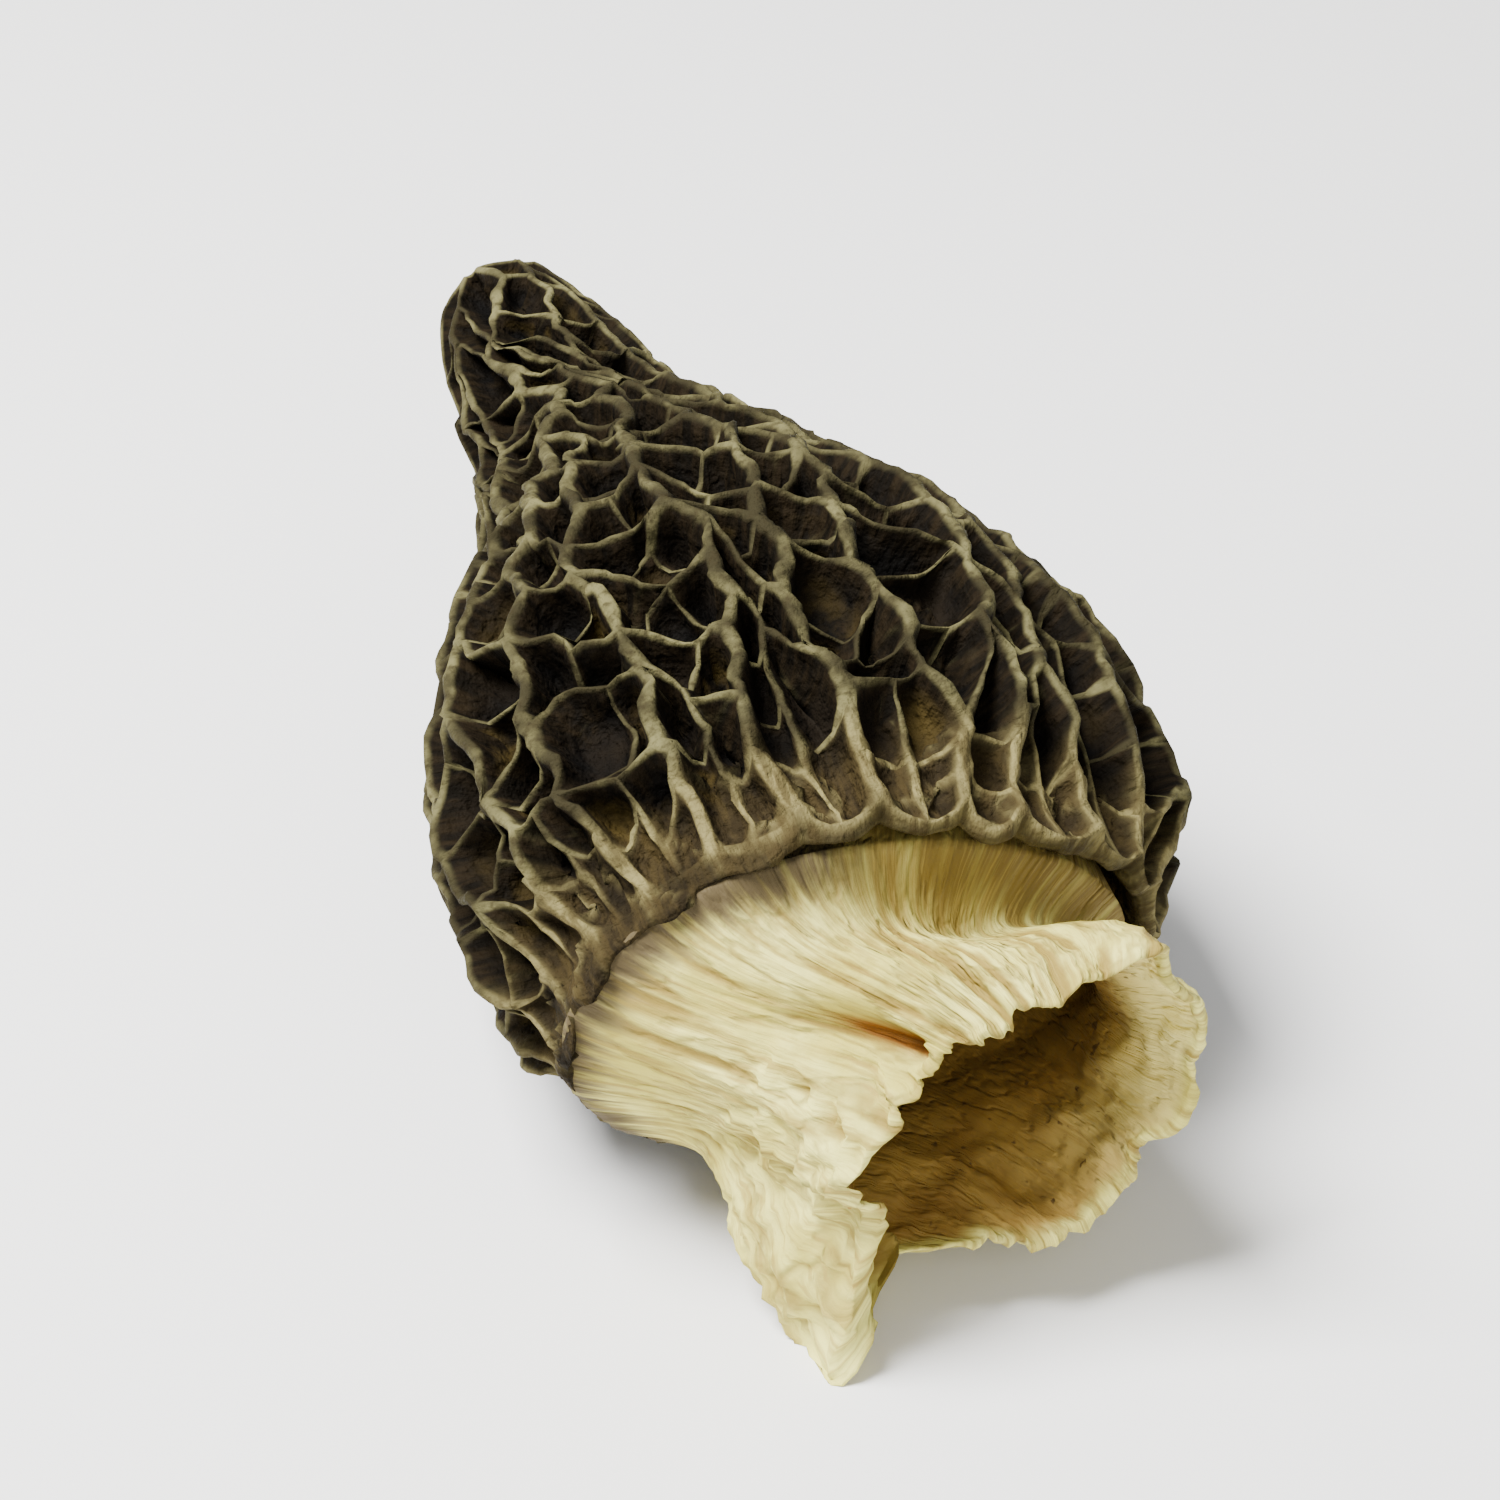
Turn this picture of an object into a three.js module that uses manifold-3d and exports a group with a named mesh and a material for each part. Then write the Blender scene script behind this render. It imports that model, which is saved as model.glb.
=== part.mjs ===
// A dried morel lying on its side, as a group of two closed solids: the ridged cap and the torn stem.
// Millimetres. +Z is up, +Y runs from the stem's mouth to the cap's tip, z = 0 is the surface that the morel
// lies on, and the origin is under the middle of its box.
//
// A morel is hollow. The cap is a thin wall of flesh round one long chamber, and outside it stands a net of
// ribs, which run from the lower edge to the tip, and of rungs, which cross from rib to rib and leave a pit
// between each two. The stem is a tube of the same flesh, torn at its mouth, whose upper end lies inside the
// cap's lower edge. The chamber runs through both.
//
// Everything is shaped about the cap's own axis, with y = 0 at the cap's lower edge, and is tipped up and
// laid down at the end. A point of the cap is given by its angle round the axis (0 towards +X, a quarter turn
// towards the top), by its share of the cap's length, and by its height above the flesh under the ribs.
import * as THREE from "three";
import { mergeVertices } from "three/addons/utils/BufferGeometryUtils.js";
import Module from "manifold-3d";

// ---- Driving dimensions ----
const CAP_LENGTH = 55;
const CAP_RADIUS = 15; // of the flesh at its widest, without the ribs
const NOSE_SHARE = 0.28; // how much of that the narrow end of the cap keeps
const WALL = 1.1; // thickness of the flesh
const RIB_HEIGHT = 3.0;
const CREST = 0.36; // half of a rib's thickness at its crest
const RIB_FOOT = 0.85; // half of a rib's thickness where it meets the flesh
const STEM_INSIDE = 4; // how far the stem reaches into the cap
const FIT_GAP = 0.4; // between the stem and the cap round it
const LEAN = 10; // degrees by which the cap's axis rises towards the tip
const REST_HEIGHT = 10.9; // of the middle of the cap's lower edge
const REST_CUT = 20; // depth of the block that levels what would reach below the surface

// ---- The net ----
const SEED = 11;
const RIBS = 24; // at the cap's lower edge
const LEVELS = 26; // steps along the cap at which each rib has a point
const WIDE_RUNG = 3.4; // a rung longer than this is bowed, and a shorter one is straight
const RIB_GAP = 3.2; // where ribs stand closer than this on average, two of them run together
const CLOSING_LEVELS = 3; // steps over which two ribs run together
const PULL = 0.5; // how far a rung draws the ribs at its ends towards each other
const WANDER = 0.5; // how far a rib strays to one side from one step to the next
const EVENING = 0.2; // share of the way that each step takes a rib to the middle of its neighbours
const FINGERS = 40; // degrees; round here long narrow pits line the lower edge
const FIRST_PIT = [1.2, 3.2]; // steps that the first pits are long, away from there and there
const LONGEST_PIT = 5; // about how long a pit gets
const PIT_LENGTH = [0.35, 1.05]; // of a pit, as a share of its width
const RUNG_BOW = [-0.18, 0.2]; // of a rung towards the lower edge, as a share of its length
const RUNG_DROP = [0.03, 0.35]; // of a rung's middle below the ribs' crests, as a share of their height
const EDGE_DROP = 0.6; // the same for the cap's lower edge
const EDGE_BOW = [0.2, 1.1]; // how far the lower edge bulges forward between two ribs
const EDGE_HANG = 1.7; // how much further forward the edge reaches at the upper right
const SHORT_RIB_DROP = 0.2; // of the middle of a short rib below a line between its ends
const LINING_ROWS = 7;
const CHAMBER_LENGTH = 0.93; // share of the cap's length that is hollow

// ---- Small helpers ----
const TURN = 2 * Math.PI;
const degrees = (d) => (d * Math.PI) / 180;
const mix = (a, b, share) => a + (b - a) * share;
const ease = (from, to, x) => {
  const s = Math.min(1, Math.max(0, (x - from) / (to - from)));
  return s * s * (3 - 2 * s);
};
// 1 at an angle of `centre`, falling to nothing about two `width`s away on each side.
const swell = (angle, centre, width) => {
  const away = Math.atan2(Math.sin(angle - centre), Math.cos(angle - centre));
  return Math.exp(-((away / width) ** 2));
};
// A seeded draw of numbers from 0 to 1.
function dice(seed) {
  let state = seed;
  return () => {
    state = (state * 1664525 + 1013904223) % 4294967296;
    return state / 4294967296;
  };
}

// ---- The cap's form ----
const UP = degrees(90);
const DOWN = degrees(-90);

// Radius of the flesh: broad for half of its length, then drawn in to a narrow, blunt nose.
function fleshRadius(angle, along) {
  const t = Math.max(along, 0);
  const drawnIn = mix(1, NOSE_SHARE, ease(0.235, 0.765, t));
  const closed = Math.sqrt(1 - Math.min(t, 0.99999) ** 8);
  const lowerEdge = 1 - 0.06 * Math.exp(-t / 0.08);
  const dents =
    0.03 * Math.cos(2 * angle + 0.5) +
    0.028 * Math.cos(3 * angle - 1.0 + 2.5 * along) +
    0.02 * Math.sin(5 * angle + 5 * along);
  return CAP_RADIUS * drawnIn * closed * lowerEdge * (1 + dents * ease(-0.2, 0.3, along));
}

// The cap has dried flatter than round, with a fuller belly where it lies.
function flatness(angle, along) {
  const below = mix(0.62, 1.08, ease(0.05, 0.5, along));
  const above = mix(0.8, 0.95, ease(0.1, 0.8, along));
  return mix(above, below, ease(0.4, -0.4, Math.sin(angle)));
}

// The axis bends to one side and up a little, and more sharply where the nose begins.
function capCentre(along) {
  const bend = 1.1 * Math.sin(3.6 * along) - 0.7 * along * along - 1.7 * ease(0.42, 0.8, along);
  return { x: bend, z: 1.5 * along * along };
}

function fleshPoint(angle, along) {
  const radius = fleshRadius(angle, along);
  const centre = capCentre(along);
  return new THREE.Vector3(
    centre.x + radius * Math.cos(angle),
    CAP_LENGTH * along,
    centre.z + flatness(angle, along) * radius * Math.sin(angle),
  );
}

function capPoint(angle, along, height) {
  const step = 1e-3;
  const here = fleshPoint(angle, along);
  const round = fleshPoint(angle + step, along).sub(fleshPoint(angle - step, along));
  const lengthwise = fleshPoint(angle, Math.min(along + step, 0.9999)).sub(fleshPoint(angle, along - step));
  const outwards = lengthwise.cross(round).normalize();
  return here.addScaledVector(outwards, height);
}

// 1 on the side where the cap's flesh runs on into the stem, 0 where the cap's lower edge stands free.
function shoulder(angle) {
  return ease(0.1, 0.75, swell(angle, degrees(175), 1.25));
}

// Ribs stand lower at the tip and at the lower edge.
function ribHeight(angle, along) {
  const atEdge = mix(0.42, 0.2, shoulder(angle));
  return RIB_HEIGHT * (1 - 0.5 * ease(0.55, 0.95, along)) * mix(atEdge, 1, ease(0, 0.1, along));
}

// ---- The net of ribs and rungs ----
const levelAlong = (level) => 0.975 * (1 - (1 - level / LEVELS) ** 1.2);

// Follows every rib from the lower edge to the tip. angles[level][rib] is where the rib is, and
// owners[level][rib] is the rib that it has joined by then, or its own number.
function traceRibs(draw) {
  const angles = [];
  const owners = [];
  let angle = [];
  for (let rib = 0; rib < RIBS; rib++) angle.push(DOWN + (TURN * (rib + 0.4 * (draw() - 0.5))) / RIBS);
  const phase = angle.map(() => TURN * draw());
  const pace = angle.map(() => mix(0.35, 0.7, draw()));
  let owner = angle.map((_, rib) => rib);
  const left = angle.map(() => 0); // levels left before the ribs on each side of this column join
  angles.push([...angle]);
  owners.push([...owner]);
  for (let level = 1; level <= LEVELS; level++) {
    const radius = fleshRadius(UP, levelAlong(level)) + ribHeight(UP, levelAlong(level));
    const alive = owner.filter((o, rib) => o === rib);
    const at = alive.map((rib) => angle[rib]);
    const count = alive.length;
    if ((TURN * radius) / count < RIB_GAP && level <= LEVELS - CLOSING_LEVELS) {
      let narrowest = -1;
      for (let m = 1; m + 2 < count; m++) {
        const free = !left[alive[m - 1]] && !left[alive[m]] && !left[alive[m + 1]];
        if (free && (narrowest < 0 || at[m + 1] - at[m] < at[narrowest + 1] - at[narrowest])) narrowest = m;
      }
      if (narrowest >= 0) left[alive[narrowest]] = CLOSING_LEVELS;
    }
    const moved = at.map((here, m) => {
      const before = m ? at[m - 1] : at[count - 1] - TURN;
      const after = m + 1 < count ? at[m + 1] : at[0] + TURN;
      const wander = (WANDER / radius) * Math.sin(phase[alive[m]] + pace[alive[m]] * level);
      return here + EVENING * ((before + after) / 2 - here) + wander;
    });
    for (let m = 0; m + 1 < count; m++) {
      const rib = alive[m];
      if (!left[rib]) continue;
      const gap = ((at[m + 1] - at[m]) * (left[rib] - 1)) / left[rib];
      const middle = (moved[m] + moved[m + 1]) / 2;
      moved[m] = middle - gap / 2;
      moved[m + 1] = middle + gap / 2;
      left[rib] -= 1;
      if (!left[rib]) owner = owner.map((o) => (o === alive[m + 1] ? rib : o));
    }
    const placed = new Map(alive.map((rib, m) => [rib, moved[m]]));
    angle = owner.map((o) => placed.get(o));
    angles.push([...angle]);
    owners.push([...owner]);
  }
  return { angles, owners };
}

// Column c lies between rib c and the next one. Its rungs go from the lower edge to where its two ribs join
// or reach the tip. A rung leaves rib c at one level and meets the next rib at the level `far`. It sags
// towards the lower edge by so many millimetres, and drops by a share of the ribs' height on its way across.
// In a split column a short rib stands in the middle of the first pit.
function placeRungs({ angles, owners }, draw) {
  const columns = [];
  for (let c = 0; c < RIBS; c++) {
    const next = (c + 1) % RIBS;
    const turn = next ? 0 : TURN;
    let end = 1;
    while (end < LEVELS && owners[end][c] !== owners[end][next]) end++;
    const fingers = swell(angles[0][c], degrees(FINGERS), 0.9);
    const split = draw() < mix(0.5, 1, fingers);
    const sag = mix(...EDGE_BOW, draw()) * (1 - 0.8 * shoulder(angles[0][c]));
    const rungs = [{ level: 0, far: 0, sag, drop: EDGE_DROP }];
    let level = Math.floor(mix(...FIRST_PIT, fingers) + 1.6 * draw());
    while (level <= end - 2 && rungs.at(-1).far <= end - 3) {
      const along = levelAlong(level);
      const least = rungs.at(-1).far + (level - rungs.at(-1).level < 2 ? 2 : 1);
      const far = Math.min(Math.max(level + Math.floor(4 * draw() - 1.5), least), end - 2);
      const opening = angles[level][owners[level][next]] + turn - angles[level][owners[level][c]];
      const width = opening * (fleshRadius(UP, along) + RIB_HEIGHT);
      const wanted = Math.min(LONGEST_PIT, width * mix(...PIT_LENGTH, draw()));
      rungs.push({ level, far, sag: width * mix(...RUNG_BOW, draw()), drop: mix(...RUNG_DROP, draw()) });
      let step = 1;
      while (level + step < end && (levelAlong(level + step) - along) * CAP_LENGTH < wanted) step++;
      level = Math.max(level + step, far - 1);
    }
    rungs.push({ level: end, far: end, sag: 0, drop: 0.1, point: owners[end][c] === owners[end][next] });
    columns.push({ c, next, turn, rungs, split });
  }
  return columns;
}

// Each rung draws the ribs at its two ends a little towards each other.
function pullRibs({ angles, owners }, columns) {
  for (const { c, next, turn, rungs } of columns) {
    for (const rung of rungs.slice(1, -1)) {
      for (const [level, rib, way] of [
        [rung.level, c, 1],
        [rung.far, next, -1],
      ]) {
        const radius = fleshRadius(UP, levelAlong(level)) + RIB_HEIGHT;
        const width = (angles[level][owners[level][next]] + turn - angles[level][owners[level][c]]) * radius;
        angles[level][owners[level][rib]] += (way * Math.min(PULL, 0.14 * width)) / radius;
      }
    }
  }
}

// ---- Building closed shells ----
class Shell {
  constructor() {
    this.points = [];
    this.faces = [];
    this.named = new Map();
  }
  add(point) {
    this.points.push(point);
    return this.points.length - 1;
  }
  // The point called `name`, made the first time that it is asked for.
  share(name, make) {
    if (!this.named.has(name)) this.named.set(name, this.add(make()));
    return this.named.get(name);
  }
  // Joins two loops of as many points with a strip of triangles.
  strip(a, b) {
    a.forEach((_, i) => {
      const j = (i + 1) % a.length;
      this.faces.push([a[i], a[j], b[j]], [a[i], b[j], b[i]]);
    });
  }
  fan(loop, tip) {
    loop.forEach((_, i) => this.faces.push([loop[i], loop[(i + 1) % loop.length], tip]));
  }
  geometry() {
    const faces = this.faces.filter(([a, b, c]) => a !== b && b !== c && c !== a);
    const places = this.points.flatMap((p) => [p.x, p.y, p.z]);
    const made = new THREE.BufferGeometry();
    made.setAttribute("position", new THREE.Float32BufferAttribute(places, 3));
    made.setIndex(faces.flat());
    return made;
  }
}

// ---- The cap ----
function buildCap() {
  const draw = dice(SEED);
  const net = traceRibs(draw);
  const columns = placeRungs(net, draw);
  pullRibs(net, columns);
  const shell = new Shell();

  // The angle of a rib at a level, which may lie between two whole ones.
  const angleOf = (rib, level) => {
    const [low, high] = [Math.floor(level), Math.ceil(level)];
    return mix(net.angles[low][net.owners[low][rib]], net.angles[high][net.owners[high][rib]], level - low);
  };
  // The lines of the net wander a little lengthwise, so that rungs don't line up round the cap,
  // and the lower edge hangs lower at the upper right.
  const place = (angle, along) => {
    const wander = 0.016 * Math.sin(3 * angle + 0.7) + 0.011 * Math.sin(7 * angle + 2);
    const hang = (EDGE_HANG / CAP_LENGTH) * swell(angle, degrees(55), 0.6) * (1 - ease(0, 0.15, along));
    return { angle, along: along - hang + wander * ease(0, 0.15, along) * (1 - ease(0.8, 0.97, along)) };
  };
  const crest = (at, share) => ({ ...at, height: ribHeight(at.angle, at.along) * share });
  const spots = new Map(); // where on the cap each point of the net is
  const spot = (name, made) => {
    const index = shell.share(name, () => capPoint(made.angle, made.along, made.height));
    spots.set(index, made);
    return index;
  };
  const onRib = (rib, level) =>
    spot(`rib ${net.owners[level][rib]} ${level}`, crest(place(angleOf(rib, level), levelAlong(level)), 1));
  const onRung = ({ c, next, turn }, { level, far, sag, drop }, share) => {
    const angle = mix(angleOf(c, level), angleOf(next, far) + turn, share);
    const arch = Math.sin(Math.PI * share);
    const along = mix(levelAlong(level), levelAlong(far), share) - (sag * arch) / CAP_LENGTH;
    return spot(`rung ${c} ${level}`, crest(place(angle, along), 1 - drop * arch));
  };
  // The point half way along a rung, or none where the rung is short and straight.
  const rungMiddle = (column, rung) => {
    const { c, next, turn, rungs, split } = column;
    if (rung.point) return [];
    const opening = angleOf(next, rung.far) + turn - angleOf(c, rung.level);
    const width = opening * fleshRadius(UP, levelAlong(rung.level));
    const needed = rungs[0] === rung || (split && rungs[1] === rung);
    return needed || width > WIDE_RUNG ? [onRung(column, rung, 0.5)] : [];
  };
  // The short rib that splits a column's first pit in two, from the lower edge up to the rung `top`.
  const shortRibPoints = ({ c, next, turn, rungs }, top) => {
    const start = -rungs[0].sag / CAP_LENGTH;
    const end = (levelAlong(top.level) + levelAlong(top.far)) / 2 - top.sag / CAP_LENGTH;
    const count = Math.round((top.level + top.far) / 2);
    const found = [];
    for (let step = 1; step < count; step++) {
      const share = step / count;
      const angle = (angleOf(c, share * top.level) + angleOf(next, share * top.far) + turn) / 2;
      const drop = mix(rungs[0].drop, top.drop, share) + SHORT_RIB_DROP * Math.sin(Math.PI * share);
      found.push(spot(`short ${c} ${step}`, crest(place(angle, mix(start, end, share)), 1 - drop)));
    }
    return found;
  };

  // One pit: from the crest all round it down to its floor, an even distance in from the crest.
  const addPit = (loop) => {
    const rim = loop.map((index) => spots.get(index));
    const turnOf = (angle) => angle - TURN * Math.round((angle - rim[0].angle) / TURN);
    const around = rim.map(({ angle, along, height }) => ({ angle: turnOf(angle), along, height }));
    const middle = {
      angle: around.reduce((sum, p) => sum + p.angle, 0) / around.length,
      along: around.reduce((sum, p) => sum + p.along, 0) / around.length,
    };
    const radius = fleshRadius(middle.angle, middle.along) + 0.5 * RIB_HEIGHT;
    const flat = around.map((p) => ({
      x: (p.angle - middle.angle) * radius,
      y: (p.along - middle.along) * CAP_LENGTH,
    }));
    const inset = (distance, heightOf) =>
      around.map((p, i) => {
        const before = flat[(i + flat.length - 1) % flat.length];
        const after = flat[(i + 1) % flat.length];
        const here = flat[i];
        const along = { x: after.x - before.x, y: after.y - before.y };
        const offEdge = Math.abs(along.x * here.y - along.y * here.x) / Math.hypot(along.x, along.y);
        const share = Math.min(0.62 * (distance / RIB_FOOT), distance / Math.max(offEdge, 0.1));
        const at = { angle: mix(p.angle, middle.angle, share), along: mix(p.along, middle.along, share) };
        return shell.add(capPoint(at.angle, at.along, heightOf(p)));
      });
    const lip = inset(CREST, (p) => p.height - 0.12);
    const floor = inset(RIB_FOOT, () => 0);
    shell.strip(loop, lip);
    shell.strip(lip, floor);
    shell.fan(floor, shell.add(capPoint(middle.angle, middle.along, -0.1)));
  };

  for (const column of columns) {
    column.rungs.slice(0, -1).forEach((low, i) => {
      const high = column.rungs[i + 1];
      const leftSide = [];
      for (let level = low.level; level < high.level; level++) leftSide.push(onRib(column.c, level));
      if (!high.point) leftSide.push(onRib(column.c, high.level));
      const rightSide = [];
      for (let level = high.far; level >= low.far; level--) rightSide.push(onRib(column.next, level));
      const above = rungMiddle(column, high);
      const below = rungMiddle(column, low);
      if (i > 0 || !column.split) {
        addPit([...leftSide, ...above, ...rightSide, ...below]);
        return;
      }
      const shortRib = shortRibPoints(column, high);
      addPit([...leftSide, ...above, ...shortRib.toReversed(), ...below]);
      addPit([...below, ...shortRib, ...above, ...rightSide]);
    });
  }

  // The knot that closes the tip.
  const ringAt = (pick) =>
    columns.flatMap((column) => {
      const rung = pick(column);
      return rung ? [onRib(column.c, rung.level), ...rungMiddle(column, rung)] : [];
    });
  const tipRing = ringAt(({ rungs }) => (rungs.at(-1).point ? null : rungs.at(-1)));
  shell.fan(tipRing.reverse(), shell.add(capPoint(UP, 0.9999, 1)));

  // The chamber's wall, from the lower edge to the tip.
  const edge = ringAt(({ rungs }) => rungs[0]);
  let row = edge;
  for (let i = 0; i <= LINING_ROWS; i++) {
    const along = CHAMBER_LENGTH * (i / LINING_ROWS) ** 0.9;
    const next = edge.map((index) => {
      const { angle } = spots.get(index);
      return shell.add(capPoint(angle, along, -WALL));
    });
    shell.strip(row, next);
    row = next;
  }
  const end = capCentre(CHAMBER_LENGTH);
  shell.fan(row, shell.add(new THREE.Vector3(end.x, CAP_LENGTH * (CHAMBER_LENGTH + 0.02), end.z)));
  return shell.geometry();
}

// ---- The stem ----
const STEM_SIDES = 56;
const STEM_ROWS = 12;
const MOUTH = { x: 4.4, z: 3.2 }; // middle of the mouth
const SPUR = degrees(232); // where the lip has a long torn point, on which the stem stands
const SPUR_INSIDE = 8.4; // distance from the middle beyond which the point is solid
const RUN_ON = 1.65; // how far the stem swells out to meet the cap's skin where the two run together
const NECK_SHARE = 0.87; // of the way from the mouth to the cap, where the stem reaches its full width
const WAIST = 0.5; // how far the stem is drawn in below the cap
const TOP_WAIST = 3.0; // how much more at the upper right, close under the cap
const SIDE_WAIST = 2.2; // and at the lower left

// The torn mouth, seen from the front: angle in degrees, distance from the mouth's middle, and how far
// forward of the cap's lower edge the lip reaches.
const LIP = [
  [-125.5, 10.3, 12.2],
  [-121, 9.0, 12.5],
  [-112, 8.3, 12.9],
  [-98, 7.6, 13.1],
  [-75, 8.1, 13.4],
  [-54, 7.2, 13.0],
  [-32, 6.8, 12.8],
  [-9, 7.9, 12.0],
  [15, 7.9, 11.2],
  [37, 8.4, 10.2],
  [50, 9.6, 9.3],
  [62, 6.8, 9.8],
  [95, 4.7, 10.6],
  [127, 4.6, 10.6],
  [145, 4.9, 10.4],
  [153, 5.3, 10.4],
  [162, 6.0, 11.0],
  [170, 7.0, 11.7],
  [178, 8.0, 12.5],
  [185, 8.6, 13.0],
  [192, 9.1, 13.4],
  [199, 8.7, 13.7],
  [206, 8.5, 13.9],
  [213, 9.3, 13.8],
  [223, 13.2, 13.8],
  [229, 15.1, 13.7],
  [232, 15.2, 13.4],
];

// A smooth closed curve through the lip's points: how far out and how far forward the lip is at an angle.
function lipAt(angle) {
  const turned = ((((angle * 180) / Math.PI - LIP[0][0]) % 360) + 360) % 360;
  const at = LIP.map(([degree]) => degree - LIP[0][0]);
  let i = at.length - 1;
  while (at[i] > turned) i--;
  const end = i + 1 < at.length ? at[i + 1] : 360;
  const share = (turned - at[i]) / (end - at[i]);
  const pick = (n) => LIP[(n + LIP.length) % LIP.length];
  const curve = (k) => {
    const [a, b, c, d] = [i - 1, i, i + 1, i + 2].map((n) => pick(n)[k]);
    return b + 0.5 * share * (c - a + share * (2 * a - 5 * b + 4 * c - d + share * (3 * (b - c) + d - a)));
  };
  return { out: curve(1), forward: curve(2) };
}

// A point of the stem, `share` of the way from the mouth to the end inside the cap and `depth` below its
// outer face.
function stemPoint(angle, share, depth) {
  const lip = lipAt(angle);
  const y = mix(-lip.forward, STEM_INSIDE, share);
  const toNeck = Math.min(1, (1 + y / lip.forward) / NECK_SHARE);
  const runOn = RUN_ON * shoulder(angle) * ease(-0.2, -1.3, y);
  const neck = capPoint(angle, 0.01, runOn - WALL - FIT_GAP - depth);
  const out = depth ? Math.min(lip.out - depth, SPUR_INSIDE) : lip.out;
  const evenly = 0.6 * toNeck + 0.4 * ease(0, 1, toNeck);
  const spread = mix(evenly, 1 - (1 - toNeck) ** 3, swell(angle, SPUR, 0.35));
  const top = TOP_WAIST * swell(angle, degrees(65), 0.95) * Math.sin(Math.PI * toNeck ** 2.7);
  const side = SIDE_WAIST * swell(angle, degrees(208), 0.6);
  const waist = top + (WAIST + side) * Math.sin(Math.PI * toNeck ** 1.8);
  return new THREE.Vector3(
    mix(MOUTH.x + out * Math.cos(angle), neck.x, spread) - waist * Math.cos(angle),
    y,
    mix(MOUTH.z + out * Math.sin(angle), neck.z, spread) - waist * Math.sin(angle),
  );
}

function buildStem() {
  const shell = new Shell();
  const ring = (share, thickness) => {
    const found = [];
    for (let i = 0; i < STEM_SIDES; i++) {
      const angle = (-TURN * i) / STEM_SIDES;
      found.push(shell.add(stemPoint(angle, share, thickness)));
    }
    return found;
  };
  const rows = [];
  for (let i = 0; i <= STEM_ROWS; i++) rows.push(ring(i / STEM_ROWS, 0));
  for (let i = STEM_ROWS; i >= 0; i--) rows.push(ring(i / STEM_ROWS, WALL));
  rows.push(rows[0]);
  rows.slice(1).forEach((row, i) => shell.strip(rows[i], row));
  return shell.geometry();
}

// ---- Laying down ----
const wasm = await Module();
wasm.setup();

function solidOf(geometry) {
  return new wasm.Manifold(
    new wasm.Mesh({
      numProp: 3,
      vertProperties: new Float32Array(geometry.attributes.position.array),
      triVerts: new Uint32Array(geometry.index.array),
    }),
  );
}

// Tips the shape up by the cap's lean, lays it down, and cuts away what would reach below the surface,
// which leaves small flats where the morel rests.
function laidDown(geometry) {
  geometry.rotateX(degrees(LEAN));
  geometry.translate(0, 0, REST_HEIGHT);
  const block = new THREE.BoxGeometry(200, 200, REST_CUT);
  block.translate(0, 0, -REST_CUT / 2);
  block.deleteAttribute("normal");
  block.deleteAttribute("uv");
  const cut = solidOf(geometry).subtract(solidOf(mergeVertices(block))).getMesh();
  const made = new THREE.BufferGeometry();
  made.setAttribute("position", new THREE.BufferAttribute(cut.vertProperties, 3));
  made.setIndex(new THREE.BufferAttribute(cut.triVerts, 1));
  made.computeVertexNormals();
  return made;
}

// ---- The morel ----
const capFlesh = new THREE.MeshStandardMaterial({ color: 0x4a4133, roughness: 0.85, metalness: 0 });
const stemFlesh = new THREE.MeshStandardMaterial({ color: 0xe3d8ab, roughness: 0.8, metalness: 0 });

const cap = new THREE.Mesh(laidDown(buildCap()), capFlesh);
cap.name = "cap";
const stem = new THREE.Mesh(laidDown(buildStem()), stemFlesh);
stem.name = "stem";

const morel = new THREE.Group();
morel.add(cap, stem);

// The origin is under the middle of the whole morel's box.
const middle = new THREE.Box3().setFromObject(morel).getCenter(new THREE.Vector3());
for (const part of morel.children) part.geometry.translate(-middle.x, -middle.y, 0);

export default morel;
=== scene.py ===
# %% [markdown]
# # A dried morel
# A morel is a hollow mushroom. Its cap is a thin wall of flesh with a net of ribs standing on it, and the
# ribs and the shorter rungs between them fence off some hundreds of pits. Its stem is a tube of the same
# flesh, and this one is torn open at the mouth. Drying shrinks the flesh: the walls turn thin and crinkled,
# the pits go dark, and the ribs' crests and the stem stay pale. The pits' near black here is that dark flesh
# with painted shade.
#
# The solid model gives the place, the size and the net. This script loads it as a fixed frame and makes two
# finer pieces in the same place: the cap, and the stem.

# %% The frame
import math

import bpy
import numpy as np
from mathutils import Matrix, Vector, noise


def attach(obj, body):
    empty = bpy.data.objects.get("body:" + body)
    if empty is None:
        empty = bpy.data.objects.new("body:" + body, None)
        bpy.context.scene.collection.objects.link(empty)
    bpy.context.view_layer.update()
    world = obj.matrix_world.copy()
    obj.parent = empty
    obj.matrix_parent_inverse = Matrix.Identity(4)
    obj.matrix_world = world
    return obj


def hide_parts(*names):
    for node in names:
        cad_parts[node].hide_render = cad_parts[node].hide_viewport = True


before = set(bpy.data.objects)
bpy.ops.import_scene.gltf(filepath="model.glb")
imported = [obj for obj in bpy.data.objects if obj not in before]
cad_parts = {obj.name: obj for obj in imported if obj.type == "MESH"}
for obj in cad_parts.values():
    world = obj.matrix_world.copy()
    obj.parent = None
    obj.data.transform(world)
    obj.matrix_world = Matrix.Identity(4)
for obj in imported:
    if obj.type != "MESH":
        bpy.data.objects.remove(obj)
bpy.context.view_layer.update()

bpy.ops.object.select_all(action="DESELECT")
MM = 0.001

# %% [markdown]
# ## The cap's form
# Every point of the cap is named by three numbers: its angle round the cap's axis, its share of the cap's
# length, and its height above the flesh. The flesh is broad for half its length and then drawn in to a
# narrow, blunt nose, and it has dried flatter than round. One function turns the three numbers into a place,
# so ribs, pits and chamber all follow the same form, and the same formula shapes the solid model.

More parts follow.
